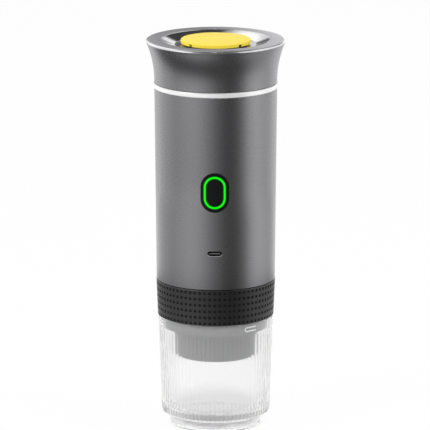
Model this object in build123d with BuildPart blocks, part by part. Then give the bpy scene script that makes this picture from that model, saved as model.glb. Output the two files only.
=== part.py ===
from build123d import *
import os
from math import atan2, cos, radians, sin, sqrt, tan

# Portable coffee maker, in millimetres. It stands on z = 0 on the foot of its cup, and its
# button and charging socket face -Y.

# Heights of the outer pieces, from the table up, and the seams between them
cup_height = 69.4
band_height = 22.8
housing_height = 121.0
trim_height = 3.0
lid_height = 26.5
seam = 0.2

# Radius at the top of the housing, and the steps from it to the other outer pieces
housing_top_radius = 38.0
housing_draft = 1.2
trim_proud = 0.45
lid_overhang = 6.3
band_proud = 0.2
band_overhang = 0.25
cup_step = 1.0
cup_draft = 2.2
foot_step = 4.3

# Clearances: slip between fixed pieces, running fit of a shaft, and room for a screw thread
slip = 0.1
running_fit = 0.05
thread_gap = 1.0

# Perforated plates: rings of holes round the middle, and holes in the first ring
hole_rings = 2
first_ring_holes = 6

# Cup
cup_wall = 2.6
cup_floor = 9.8
cup_floor_fillet = 4.0
cup_rim_fillet = 0.7
base_edge_height = 5.3
foot_height = 2.3
foot_edge_fillet = 0.7
foot_ring_width = 4.0
foot_recess = 0.8
collar_height = 7.2
collar_proud = 0.1
flute_count = 80
flute_depth = 0.45

# Lock lugs inside the cup's collar
lug_count = 3
lug_start_angle = -57.0
lug_arc = 15.0
lug_height = 2.9
lug_depth = 0.9
lug_drop = 4.5
lug_gap = 0.3

# Brew chamber, grip ring and cup seal
grip_thickness = 1.8
grip_edge_fillet = 1.6
grip_rib_height = 2.4
grip_rib_depth = 0.6
chamber_wall = 2.8
chamber_floor = 2.4
shroud_step = 6.4
shroud_wall = 2.2
shroud_depth = 18.2
shroud_floor = 3.0
shroud_edge_fillet = 1.5
cup_seal_height = 1.6
cup_seal_depth = 1.0
cup_seal_drop = 0.8
cup_seal_gap = 0.2
cup_seal_chamfer = 0.4

# Filter basket, its gasket and the outlet
basket_gap = 1.6
basket_wall = 0.6
basket_flange = 0.8
basket_flange_reach = 3.6
basket_hole_radius = 1.0
basket_hole_pitch = 7.0
drip_gap = 2.0
gasket_thickness = 2.0
gasket_width = 6.6
nozzle_radius = 4.4
nozzle_bore = 1.6
nozzle_flange = 1.0
nozzle_flange_reach = 2.0
nozzle_inset = 0.4

# Group head with its shower plate
group_spigot_length = 10.0
group_flange = 2.4
group_floor = 4.4
group_wall = 3.0
shower_rim = 10.85
shower_plate_thickness = 0.8
shower_pocket = 1.2
plenum_step = 2.0
plenum_depth = 0.8
shower_hole_radius = 0.9
shower_hole_pitch = 6.0
shower_screw_radius = 1.4
shower_screw_head_radius = 2.8
shower_screw_head = 1.2
shower_screw_fillet = 0.4
shower_screw_grip = 5.0
screw_boss_radius = 4.0
screw_boss_height = 5.0
inlet_boss_wall = 1.4

# Housing and trim ring
housing_wall = 1.6
housing_edge_chamfer = 0.3
trim_spigot_depth = 2.5
trim_width = 3.3
trim_edge_fillet = 0.5

# Chassis, deck and posts
chassis_gap = 0.4
plate_thickness = 3.0
seat_depth = 1.0
seat_gap = 0.2
post_angles = (35.0, 145.0, 228.0, 312.0)
post_width = 6.5
chassis_post_depth = 4.4
cradle_post_depth = 2.4
frame_screw_radius = 0.95
frame_screw_head_radius = 1.7
frame_screw_length = 10.0
frame_screw_sink_angle = 90.0
deck_notch_gap = 1.5

# Battery cells
cell_radius = 9.2
cell_length = 65.2
cell_angles = (90.0, 200.0, 340.0)
cell_margin = 1.2
cell_nub_radius = 2.8
cell_nub_height = 0.8

# Pump
pump_radius = 13.0
pump_height = 18.0
cam_chamber_radius = 8.0
cam_chamber_depth = 11.0
motor_radius = 12.0
motor_height = 22.0
motor_boss_radius = 4.0
motor_boss_height = 2.0
shaft_radius = 1.15
shaft_in_motor = 14.0
cam_radius = 5.0
cam_offset = 1.2
cam_thickness = 4.0
cam_foot_gap = 1.5
stub_offset = 9.0
stub_radius = 3.0
stub_bore = 1.5
stub_reach = 4.0
inlet_offset = 17.5
inlet_elbow_radius = 3.4
inlet_height = 6.5
barb_length = 7.0

# Suction hose and tank outlet
hose_bore = 1.5
hose_wall = 1.0
hose_end_gap = 0.3
outlet_flange_radius = 3.2
outlet_flange = 1.0

# Water tank, its heater and the lid's neck
tank_gap = 0.6
tank_wall = 0.7
tank_corner = 4.0
tank_flange = 1.0
tank_gasket_thickness = 1.0
cradle_ring_height = 3.0
heater_thickness = 3.5
heater_inset = 1.4
heater_hole_gap = 0.8
fuse_radius = 2.5
fuse_fillet = 0.8
fuse_offset = 14.0
fuse_depth_in_deck = 1.5
neck_length = 9.8
neck_wall = 3.3
neck_drop = 0.2

# Control board and charging socket
board_width = 28.0
board_thickness = 1.6
board_gap = 5.2
usb_height = 23.0
usb_mouth_width = 8.34
usb_mouth_height = 2.56
usb_wall = 0.3
usb_depth = 7.35
usb_recess = 0.35
usb_cut_gap = 0.25
usb_tongue_width = 6.7
usb_tongue_thickness = 0.7
usb_tongue_recess = 0.7
usb_board_width = 12.0
usb_board_thickness = 1.0
usb_board_overhang = 2.5

# Button: width and height of each stadium, and how far each stands out of the housing
button_height = 61.7
bezel_width = 16.9
bezel_length = 24.3
bezel_proud = 0.15
bezel_flange_reach = 1.5
bezel_flange_thickness = 1.7
bezel_flange_gap = 0.4
light_width = 14.1
light_length = 20.9
light_band = 1.85
light_proud = 0.1
light_ledge = 0.75
cap_proud = 0.2
cap_gap = 0.15
cap_flange_reach = 0.95
cap_flange_thickness = 1.0
cap_flange_gap = 0.2
cap_stem_radius = 2.0
button_travel = 1.0
switch_width = 6.2
switch_thickness = 3.6
switch_bore_depth = 2.4
plunger_radius = 1.6
plunger_engagement = 0.8

# Lid
lid_wall = 1.4
lid_flare_start = 0.6
lid_edge_fillet = 2.0
lid_rim_width = 10.9
dish_slope_width = 8.1
dish_depth = 3.1
dish_sheet = 0.8
dish_lip_width = 2.6
liner_flange = 3.0
liner_wall = 2.2
liner_floor = 2.0
liner_lead_gap = 1.0
vent_tube_wall = 2.5
lid_seal_width = 1.8
lid_seal_height = 1.5

# Vent stopper and the yellow cap on it
vent_cap_gap = 3.65
vent_cap_reach = 7.65
vent_cap_thickness = 2.4
vent_cap_fillet = 0.6
vent_cap_proud = 0.3
vent_notch_count = 4
vent_notch_width = 1.6
vent_notch_height = 1.0
vent_notch_depth = 1.2
vent_neck_inset = 2.2
vent_stem_gap = 0.3
vent_stem_length = 12.0
vent_stem_wall = 2.0

# Levels of the outer pieces
band_bottom = cup_height + seam
band_top = band_bottom + band_height
housing_bottom = band_top + seam
housing_top = housing_bottom + housing_height
trim_top = housing_top + trim_height
lid_bottom = trim_top + seam
lid_top = lid_bottom + lid_height

# Outer radii, worked down from the top of the housing
housing_bottom_radius = housing_top_radius - housing_draft
cup_rim_radius = housing_bottom_radius - cup_step
cup_base_radius = cup_rim_radius - cup_draft
foot_radius = cup_base_radius - foot_step

# Cup: the wall leans out from the base edge to the rim
collar_bottom = cup_height - collar_height
cup_lean = (cup_rim_radius - cup_base_radius) / (cup_height - base_edge_height)
collar_bottom_radius = cup_rim_radius - cup_lean * collar_height
cup_bore = cup_rim_radius - cup_wall
cavity_radius = cup_base_radius + cup_lean * (cup_floor - base_edge_height) - cup_wall
lug_level = cup_height - lug_drop

# Brew chamber, worked inward from the band and from the cup's bore
band_bottom_radius = cup_rim_radius + band_overhang
band_top_radius = housing_bottom_radius + band_proud
chamber_radius = band_bottom_radius - grip_thickness
thread_bore = chamber_radius - chamber_wall
group_spigot_radius = thread_bore - thread_gap
shower_radius = group_spigot_radius - shower_rim
spigot_radius = cup_bore - lug_depth - lug_gap
spigot_bore = spigot_radius - chamber_wall
shroud_radius = spigot_radius - shroud_step
shroud_bore = shroud_radius - shroud_wall
shroud_bottom = collar_bottom - shroud_depth
shroud_inside = shroud_bottom + shroud_floor
cup_seal_top = band_bottom - cup_seal_drop
group_bottom = housing_bottom - group_spigot_length
gasket_bottom = group_bottom - gasket_thickness
basket_ledge = gasket_bottom - basket_flange
basket_radius = shroud_bore - basket_gap
basket_bottom = shroud_inside + drip_gap
rib_middle = (band_bottom + band_top) / 2

# Levels inside the housing, stacked up from its bottom edge
chassis_bottom = housing_bottom + group_flange
chassis_top = chassis_bottom + plate_thickness
cell_bottom = chassis_top - seat_depth
cell_top = cell_bottom + cell_length
deck_bottom = cell_top - seat_depth
deck_top = deck_bottom + plate_thickness
tank_bottom = deck_top + heater_thickness
pump_top = chassis_top + pump_height
neck_top = trim_top - neck_drop
neck_bottom = neck_top - neck_length
tank_flange_top = neck_bottom - tank_gasket_thickness
cradle_top = tank_flange_top - tank_flange
plenum_top = group_bottom + shower_pocket + plenum_depth
shower_bottom = group_bottom + shower_pocket - shower_plate_thickness
group_floor_top = group_bottom + group_floor

# Radii inside the housing
housing_taper = (housing_top_radius - housing_bottom_radius) / housing_height
housing_bore = housing_bottom_radius - housing_wall
group_flange_radius = housing_bore - 2 * slip
chassis_radius = housing_bore - chassis_gap
chassis_post_outer = chassis_radius - chassis_gap
cell_pitch_radius = chassis_radius - cell_margin - cell_radius
frame_screw_pitch = chassis_post_outer - chassis_post_depth / 2
trim_spigot_radius = housing_top_radius - housing_wall - 2 * slip
trim_bore = housing_top_radius - trim_width
neck_radius = trim_bore - 2 * slip
neck_bore = neck_radius - neck_wall
cradle_outer = neck_radius - slip
deck_radius = cradle_outer + chassis_gap
cradle_bore = cradle_outer - cradle_post_depth
tank_radius = cradle_bore - tank_gap
hose_radius = hose_bore + hose_wall
barb_radius = hose_bore - running_fit
inlet_axis = chassis_top + inlet_height
inlet_shoulder = inlet_axis + inlet_elbow_radius
stub_hole = stub_radius + 2 * slip

# Lid
lid_corner_radius = housing_top_radius + lid_overhang
dish_rim_radius = lid_corner_radius - lid_rim_width
dish_floor_radius = dish_rim_radius - dish_slope_width
vent_cap_radius = dish_floor_radius - vent_cap_gap
vent_tube_bore = vent_cap_radius - vent_cap_reach
lid_flare_bottom = lid_bottom + lid_flare_start
lid_inner_top = lid_top - lid_wall
lid_lean = 2 * atan2(lid_corner_radius - housing_top_radius, lid_top - lid_flare_bottom)
lid_inner_corner = lid_corner_radius - lid_wall * (1 / cos(lid_lean) + tan(lid_lean))
lid_bore = housing_top_radius - lid_wall
liner_radius = lid_bore - 2 * slip
liner_spigot_radius = neck_bore - thread_gap
liner_bottom = neck_bottom + liner_lead_gap
liner_flange_top = lid_bottom + liner_flange
lid_seal_inner = neck_bore + (neck_radius - neck_bore - lid_seal_width) / 2
lid_seal_bottom = lid_bottom - slip
dish_floor = lid_top - dish_depth
dish_underside = dish_floor - dish_sheet
dish_lip_bottom = lid_inner_top - dish_sheet
vent_tube_radius = vent_tube_bore + vent_tube_wall
vent_cap_top = lid_top + vent_cap_proud
vent_cap_bottom = vent_cap_top - vent_cap_thickness
vent_stem_radius = vent_tube_bore - vent_stem_gap
vent_neck_bottom = dish_floor + slip
vent_stem_bottom = vent_neck_bottom - vent_stem_length

# Front of the housing, where the button and the socket are
button_level = housing_bottom + button_height
usb_level = housing_bottom + usb_height
button_skin = housing_bottom_radius + housing_taper * button_height
usb_skin = housing_bottom_radius + housing_taper * usb_height
bezel_flange_half = bezel_width / 2 + bezel_flange_reach
bezel_flange_inside = housing_bore + housing_taper * (button_height - bezel_length / 2)
bezel_flange_front = sqrt(bezel_flange_inside**2 - bezel_flange_half**2) - bezel_flange_gap
bezel_back = bezel_flange_front - bezel_flange_thickness
light_inner_width = light_width - 2 * light_band
light_inner_length = light_length - 2 * light_band
cap_width = light_inner_width - 2 * cap_gap
cap_length = light_inner_length - 2 * cap_gap
cap_flange_front = bezel_flange_front - cap_flange_gap
cap_back = cap_flange_front - cap_flange_thickness
board_front = bezel_back - board_gap
board_middle = board_front - board_thickness / 2
switch_front = board_front + switch_thickness
plunger_tip = switch_front + button_travel + 2 * slip
usb_front = usb_skin - usb_recess
usb_back = usb_front - usb_depth
usb_outer_width = usb_mouth_width + 2 * usb_wall
usb_outer_height = usb_mouth_height + 2 * usb_wall
usb_board_top = usb_level - usb_outer_height / 2


def ring(inner, outer, low, high, mode=Mode.ADD):
    """Draw the section of a round band beside the Z axis."""
    with Locations((inner, low)):
        Rectangle(outer - inner, high - low, align=(Align.MIN, Align.MIN), mode=mode)


def at_angles(radius, angles):
    """Give places on a circle, each turned to face outward."""
    return [
        Location((radius * cos(radians(angle)), radius * sin(radians(angle)), 0), (0, 0, angle))
        for angle in angles
    ]


def front_plane(depth, level):
    """Give a plane that faces the front, at this distance from the Z axis."""
    return Plane(origin=(0, -depth, level), x_dir=(1, 0, 0), z_dir=(0, -1, 0))


def side_plane(angle):
    """Give the upright plane through the Z axis that points this way."""
    turn = radians(angle)
    return Plane(origin=(0, 0, 0), x_dir=(cos(turn), sin(turn), 0), z_dir=(sin(turn), -cos(turn), 0))


def upright_slot(width, length, mode=Mode.ADD):
    """Draw a stadium that stands upright."""
    SlotOverall(length, width, rotation=90, mode=mode)


def housing_skin(proud):
    """Draw half of the housing's filled outline, grown by this much."""
    Polygon(
        (0, housing_bottom),
        (housing_bottom_radius + proud, housing_bottom),
        (housing_top_radius + proud, housing_top),
        (0, housing_top),
        align=None,
    )


def fluted_outline(crest_radius):
    """Draw a closed ring of convex flutes."""
    step = 360 / flute_count
    valley_radius = crest_radius - flute_depth
    for index in range(flute_count):
        start, middle, end = (radians(step * (index + part)) for part in (0, 0.5, 1))
        ThreePointArc(
            (valley_radius * cos(start), valley_radius * sin(start)),
            (crest_radius * cos(middle), crest_radius * sin(middle)),
            (valley_radius * cos(end), valley_radius * sin(end)),
        )


def perforation(hole_radius, pitch, mode=Mode.ADD):
    """Draw rings of holes round the Z axis."""
    for row in range(1, hole_rings + 1):
        with PolarLocations(row * pitch, row * first_ring_holes):
            Circle(hole_radius, mode=mode)


def upside_down(level):
    """Give a place on the Z axis that faces down."""
    return Location((0, 0, level), (180, 0, 0))


def cell_and_board_seats():
    """Draw the recesses that the cells and the control board stand in."""
    with Locations(*at_angles(cell_pitch_radius, cell_angles)):
        Circle(cell_radius + seat_gap)
    with Locations((0, -board_middle)):
        Rectangle(board_width + 2 * seat_gap, board_thickness + 2 * seat_gap)


frame_screw_places = at_angles(frame_screw_pitch, post_angles)


# Cup: fluted wall, smooth collar, stepped foot, thick floor and three lock lugs
with BuildPart() as cup:
    with BuildSketch(Plane.XY.offset(base_edge_height)):
        with BuildLine():
            fluted_outline(cup_base_radius)
        make_face()
    with BuildSketch(Plane.XY.offset(collar_bottom)):
        with BuildLine():
            fluted_outline(collar_bottom_radius - collar_proud)
        make_face()
    loft(ruled=True)
    with BuildSketch(Plane.XZ):
        with BuildLine():
            Polyline(
                (0, 0),
                (foot_radius, 0),
                (foot_radius, foot_height),
                (cup_base_radius - flute_depth - collar_proud, base_edge_height),
                (0, base_edge_height),
                close=True,
            )
        make_face()
        with BuildLine():
            Polyline(
                (0, collar_bottom),
                (collar_bottom_radius, collar_bottom),
                (cup_rim_radius, cup_height),
                (0, cup_height),
                close=True,
            )
        make_face()
    revolve(axis=Axis.Z)
    fillet(cup.edges().group_by(Axis.Z)[0], foot_edge_fillet)
    with BuildSketch(Plane.XZ):
        with BuildLine():
            FilletPolyline(
                (0, cup_height),
                (0, cup_floor),
                (cavity_radius, cup_floor),
                (cup_bore, collar_bottom),
                (cup_bore, cup_height),
                radius=(0, 0, cup_floor_fillet, 0, 0),
                close=True,
            )
        make_face()
        ring(0, foot_radius - foot_ring_width, 0, foot_recess)
    revolve(axis=Axis.Z, mode=Mode.SUBTRACT)
    fillet(cup.edges().group_by(Axis.Z)[-1], cup_rim_fillet)
    for index in range(lug_count):
        lug_angle = lug_start_angle + index * 360 / lug_count
        with BuildSketch(side_plane(lug_angle)):
            ring(
                cup_bore - lug_depth,
                cup_bore + lug_depth,
                lug_level - lug_height / 2,
                lug_level + lug_height / 2,
            )
        revolve(axis=Axis.Z, revolution_arc=lug_arc)

# Seal between the cup and the brew chamber's spigot
with BuildPart() as cup_seal:
    with BuildSketch(Plane.XZ):
        ring(
            spigot_radius - cup_seal_depth + running_fit,
            cup_bore - cup_seal_gap,
            cup_seal_top - cup_seal_height + running_fit,
            cup_seal_top - running_fit,
        )
    revolve(axis=Axis.Z)
    chamfer(cup_seal.edges(), cup_seal_chamfer)

# Brew chamber: threaded wall, spigot for the cup, and the shroud that holds the basket
with BuildPart() as brew_chamber:
    with BuildSketch(Plane.XZ):
        ring(thread_bore, chamber_radius, band_bottom, band_top)
        ring(spigot_bore, chamber_radius, band_bottom, band_bottom + chamber_floor)
        ring(spigot_bore, spigot_radius, collar_bottom, band_bottom + chamber_floor)
        ring(shroud_bore, spigot_radius, collar_bottom, collar_bottom + chamber_floor)
        ring(shroud_bore, shroud_radius, shroud_bottom, basket_ledge)
        ring(nozzle_radius + slip, shroud_radius, shroud_bottom, shroud_inside)
        ring(
            chamber_radius,
            chamber_radius + grip_rib_depth,
            rib_middle - grip_rib_height / 2,
            rib_middle + grip_rib_height / 2,
        )
        ring(
            spigot_radius - cup_seal_depth,
            spigot_radius,
            cup_seal_top - cup_seal_height,
            cup_seal_top,
            mode=Mode.SUBTRACT,
        )
    revolve(axis=Axis.Z)
    bottom_edges = brew_chamber.edges().group_by(Axis.Z)[0]
    fillet(bottom_edges.sort_by(SortBy.RADIUS)[-1], shroud_edge_fillet)

# Rubber grip ring, held by a rib of the brew chamber
with BuildPart() as grip_ring:
    grip_bore = chamber_radius + slip
    with BuildSketch(Plane.XZ):
        with BuildLine():
            Polyline(
                (grip_bore, band_bottom),
                (band_bottom_radius, band_bottom),
                (band_top_radius, band_top),
                (grip_bore, band_top),
                close=True,
            )
        make_face()
        ring(
            grip_bore,
            grip_bore + grip_rib_depth,
            rib_middle - grip_rib_height / 2 - slip,
            rib_middle + grip_rib_height / 2 + slip,
            mode=Mode.SUBTRACT,
        )
    revolve(axis=Axis.Z)
    bottom_edges = grip_ring.edges().group_by(Axis.Z)[0]
    fillet(bottom_edges.sort_by(SortBy.RADIUS)[-1], grip_edge_fillet)

# Steel filter basket, hung by its flange on the shroud
with BuildPart() as filter_basket:
    with BuildSketch(Plane.XZ):
        ring(0, basket_radius, basket_bottom, basket_bottom + basket_wall)
        ring(basket_radius - basket_wall, basket_radius, basket_bottom, gasket_bottom)
        ring(
            basket_radius - basket_wall,
            shroud_bore + basket_flange_reach,
            basket_ledge,
            gasket_bottom,
        )
    revolve(axis=Axis.Z)
    with BuildSketch(Plane.XY.offset(basket_bottom)):
        perforation(basket_hole_radius, basket_hole_pitch)
        Circle(basket_hole_radius)
    extrude(amount=basket_wall, mode=Mode.SUBTRACT)

# Outlet nozzle, dropped into the floor of the shroud
with BuildPart() as outlet_nozzle:
    with BuildSketch(Plane.XZ):
        ring(nozzle_bore, nozzle_radius, shroud_bottom + nozzle_inset, shroud_inside + nozzle_flange)
        ring(
            nozzle_bore,
            nozzle_radius + nozzle_flange_reach,
            shroud_inside,
            shroud_inside + nozzle_flange,
        )
    revolve(axis=Axis.Z)

# Gasket between the basket's flange and the group head
with BuildPart() as group_gasket:
    with BuildSketch(Plane.XZ):
        ring(
            basket_radius,
            basket_radius + gasket_width,
            gasket_bottom,
            group_bottom,
        )
    revolve(axis=Axis.Z)

# Group head: flange in the housing, threaded spigot, water inlet and shower pocket
with BuildPart() as group_head:
    with BuildSketch(Plane.XZ):
        ring(0, group_spigot_radius, group_bottom, chassis_bottom)
        ring(0, group_flange_radius, housing_bottom, chassis_bottom)
        ring(0, shower_radius + slip, group_bottom, group_bottom + shower_pocket, mode=Mode.SUBTRACT)
        ring(0, shower_radius - plenum_step, group_bottom, plenum_top, mode=Mode.SUBTRACT)
        ring(
            screw_boss_radius,
            group_spigot_radius - group_wall,
            group_floor_top,
            chassis_bottom,
            mode=Mode.SUBTRACT,
        )
        ring(0, screw_boss_radius, group_floor_top + screw_boss_height, chassis_bottom, mode=Mode.SUBTRACT)
    revolve(axis=Axis.Z)
    with BuildSketch(Plane.XY.offset(group_floor_top)):
        with Locations((0, stub_offset)):
            Circle(stub_hole + inlet_boss_wall)
    extrude(amount=chassis_bottom - group_floor_top)
    with Locations((0, stub_offset, chassis_bottom)):
        CounterBoreHole(
            radius=stub_bore,
            counter_bore_radius=stub_hole,
            counter_bore_depth=stub_reach + 2 * slip,
            depth=chassis_bottom - plenum_top,
        )
    with BuildSketch(Plane.XY.offset(plenum_top)):
        Circle(shower_screw_radius + running_fit)
    extrude(amount=shower_screw_grip, mode=Mode.SUBTRACT)
    with Locations(*[place * upside_down(housing_bottom) for place in frame_screw_places]):
        CounterSinkHole(
            radius=frame_screw_radius + running_fit,
            counter_sink_radius=frame_screw_head_radius + slip,
            counter_sink_angle=frame_screw_sink_angle,
        )

# Perforated shower plate in the pocket of the group head
with BuildPart() as shower_plate:
    with BuildSketch(Plane.XY.offset(shower_bottom)):
        Circle(shower_radius)
        perforation(shower_hole_radius, shower_hole_pitch, mode=Mode.SUBTRACT)
        Circle(shower_screw_radius + slip, mode=Mode.SUBTRACT)
    extrude(amount=shower_plate_thickness)

# Screw that holds the shower plate
with BuildPart() as shower_screw:
    with BuildSketch(Plane.XZ):
        ring(0, shower_screw_radius, shower_bottom, plenum_top + shower_screw_grip - slip)
        ring(0, shower_screw_head_radius, shower_bottom - shower_screw_head, shower_bottom)
    revolve(axis=Axis.Z)
    fillet(shower_screw.edges().group_by(Axis.Z)[0], shower_screw_fillet)

# Housing: tapered tube with cut-outs for the button and the charging socket
with BuildPart() as main_housing:
    with BuildSketch(Plane.XZ):
        with BuildLine():
            Polyline(
                (housing_bore, housing_bottom),
                (housing_bottom_radius, housing_bottom),
                (housing_top_radius, housing_top),
                (housing_top_radius - housing_wall, housing_top),
                close=True,
            )
        make_face()
    revolve(axis=Axis.Z)
    bottom_edges = main_housing.edges().group_by(Axis.Z)[0]
    chamfer(bottom_edges.sort_by(SortBy.RADIUS)[-1], housing_edge_chamfer)
    with BuildSketch(front_plane(board_front, button_level)):
        upright_slot(bezel_width + 2 * slip, bezel_length + 2 * slip)
    extrude(amount=button_skin, mode=Mode.SUBTRACT)
    with BuildSketch(front_plane(board_front, usb_level)):
        SlotOverall(usb_outer_width + 2 * usb_cut_gap, usb_outer_height + 2 * usb_cut_gap)
    extrude(amount=usb_skin, mode=Mode.SUBTRACT)

# Bright trim ring on top of the housing
with BuildPart() as trim_ring:
    trim_radius = housing_top_radius + trim_proud
    with BuildSketch(Plane.XZ):
        ring(trim_bore, trim_radius, housing_top, trim_top)
        ring(trim_bore, trim_spigot_radius, housing_top - trim_spigot_depth, housing_top)
    revolve(axis=Axis.Z)
    circles = trim_ring.edges().filter_by(GeomType.CIRCLE)
    fillet(circles.group_by(SortBy.RADIUS)[-1], trim_edge_fillet)

# Threaded neck for the lid, inside the trim ring
with BuildPart() as neck_ring:
    with BuildSketch(Plane.XZ):
        ring(neck_bore, neck_radius, neck_bottom, neck_top)
    revolve(axis=Axis.Z)

# Gasket between the neck and the tank's flange
with BuildPart() as tank_gasket:
    with BuildSketch(Plane.XZ):
        ring(neck_bore, cradle_outer, tank_flange_top, neck_bottom)
    revolve(axis=Axis.Z)

# Drawn steel water tank
with BuildPart() as water_tank:
    with BuildSketch(Plane.XZ):
        with BuildLine():
            FilletPolyline(
                (0, tank_bottom),
                (tank_radius, tank_bottom),
                (tank_radius, tank_flange_top),
                (0, tank_flange_top),
                radius=(0, tank_corner, 0, 0),
                close=True,
            )
        make_face()
        ring(0, cradle_outer, cradle_top, tank_flange_top)
    revolve(axis=Axis.Z)
    with BuildSketch(Plane.XZ):
        with BuildLine():
            FilletPolyline(
                (0, tank_bottom + tank_wall),
                (tank_radius - tank_wall, tank_bottom + tank_wall),
                (tank_radius - tank_wall, tank_flange_top),
                (0, tank_flange_top),
                radius=(0, tank_corner - tank_wall, 0, 0),
                close=True,
            )
        make_face()
    revolve(axis=Axis.Z, mode=Mode.SUBTRACT)
    with BuildSketch(Plane.XY.offset(tank_bottom)):
        with Locations((0, -inlet_offset)):
            Circle(barb_radius + slip)
    extrude(amount=tank_wall, mode=Mode.SUBTRACT)

# Nipple through the floor of the tank
with BuildPart() as tank_outlet:
    tank_inside = tank_bottom + tank_wall
    outlet_bottom = deck_bottom - barb_length
    with BuildSketch(Plane.XY.offset(tank_inside)):
        with Locations((0, -inlet_offset)):
            Circle(outlet_flange_radius)
    extrude(amount=outlet_flange)
    with BuildSketch(Plane.XY.offset(outlet_bottom)):
        with Locations((0, -inlet_offset)):
            Circle(barb_radius)
    extrude(amount=tank_inside - outlet_bottom)
    with BuildSketch(Plane.XY.offset(outlet_bottom)):
        with Locations((0, -inlet_offset)):
            Circle(hose_bore / 2)
    extrude(amount=tank_inside + outlet_flange - outlet_bottom, mode=Mode.SUBTRACT)

# Heating plate between the deck and the tank
with BuildPart() as heater_plate:
    with BuildSketch(Plane.XY.offset(deck_top)):
        Circle(tank_radius - tank_corner - heater_inset)
        with Locations((0, -inlet_offset)):
            Circle(hose_radius + heater_hole_gap, mode=Mode.SUBTRACT)
        with Locations((fuse_offset, 0)):
            Circle(fuse_radius + slip, mode=Mode.SUBTRACT)
    extrude(amount=heater_thickness)

# Temperature cut-out, let into the heating plate and the deck
with BuildPart() as thermal_fuse:
    fuse_bottom = deck_top - fuse_depth_in_deck
    with BuildSketch(Plane.XY.offset(fuse_bottom)):
        with Locations((fuse_offset, 0)):
            Circle(fuse_radius)
    extrude(amount=tank_bottom - slip - fuse_bottom)
    fillet(thermal_fuse.edges().group_by(Axis.Z)[-1], fuse_fillet)

# Chassis: floor plate with seats for the cells and the board, and four posts
with BuildPart() as chassis_base:
    with BuildSketch(Plane.XY.offset(chassis_bottom)):
        Circle(chassis_radius)
    extrude(amount=plate_thickness)
    with BuildSketch(Plane.XY.offset(chassis_bottom)):
        with Locations(*at_angles(chassis_post_outer - chassis_post_depth, post_angles)):
            Rectangle(chassis_post_depth, post_width, align=(Align.MIN, Align.CENTER))
    extrude(amount=deck_bottom - chassis_bottom)
    with BuildSketch(Plane.XY.offset(cell_bottom)):
        cell_and_board_seats()
    extrude(amount=seat_depth, mode=Mode.SUBTRACT)
    with BuildSketch(Plane.XY.offset(chassis_bottom)):
        with Locations((0, stub_offset)):
            Circle(stub_hole)
    extrude(amount=plate_thickness, mode=Mode.SUBTRACT)
    with BuildSketch(Plane.XY.offset(chassis_bottom)):
        with Locations(*frame_screw_places):
            Circle(frame_screw_radius + running_fit)
    extrude(amount=frame_screw_length - group_flange + slip, mode=Mode.SUBTRACT)

# Tank cradle: deck over the cells, four posts and the ring under the tank's flange
with BuildPart() as tank_cradle:
    with BuildSketch(Plane.XY.offset(deck_bottom)):
        Circle(deck_radius)
        with Locations((0, -deck_radius)):
            Rectangle(
                2 * bezel_flange_half + 2 * deck_notch_gap,
                2 * (deck_radius - bezel_back + deck_notch_gap),
                mode=Mode.SUBTRACT,
            )
        with Locations((0, -inlet_offset)):
            Circle(hose_radius, mode=Mode.SUBTRACT)
    extrude(amount=plate_thickness)
    with BuildSketch(Plane.XY.offset(deck_top)):
        with Locations(*at_angles(cradle_bore, post_angles)):
            Rectangle(cradle_post_depth, post_width, align=(Align.MIN, Align.CENTER))
    extrude(amount=cradle_top - deck_top)
    with BuildSketch(Plane.XZ):
        ring(cradle_bore, cradle_outer, cradle_top - cradle_ring_height, cradle_top)
    revolve(axis=Axis.Z)
    with BuildSketch(Plane.XY.offset(deck_bottom)):
        cell_and_board_seats()
    extrude(amount=seat_depth, mode=Mode.SUBTRACT)
    with BuildSketch(Plane.XY.offset(deck_top - fuse_depth_in_deck)):
        with Locations((fuse_offset, 0)):
            Circle(fuse_radius + slip)
    extrude(amount=fuse_depth_in_deck, mode=Mode.SUBTRACT)

# Four countersunk screws, up through the group head into the chassis posts
with BuildPart() as frame_screws:
    with Locations(*[place * Location((0, 0, housing_bottom)) for place in frame_screw_places]):
        Cylinder(
            frame_screw_radius,
            frame_screw_length,
            align=(Align.CENTER, Align.CENTER, Align.MIN),
        )
        Cone(
            frame_screw_head_radius,
            frame_screw_radius,
            frame_screw_head_radius - frame_screw_radius,
            align=(Align.CENTER, Align.CENTER, Align.MIN),
        )

# Three cylindrical cells, seated in the chassis and the deck
with BuildPart() as battery_cells:
    with BuildSketch(Plane.XY.offset(cell_bottom)):
        with Locations(*at_angles(cell_pitch_radius, cell_angles)):
            Circle(cell_radius)
    extrude(amount=cell_length - cell_nub_height)
    with BuildSketch(Plane.XY.offset(cell_top - cell_nub_height)):
        with Locations(*at_angles(cell_pitch_radius, cell_angles)):
            Circle(cell_nub_radius)
    extrude(amount=cell_nub_height)

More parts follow.
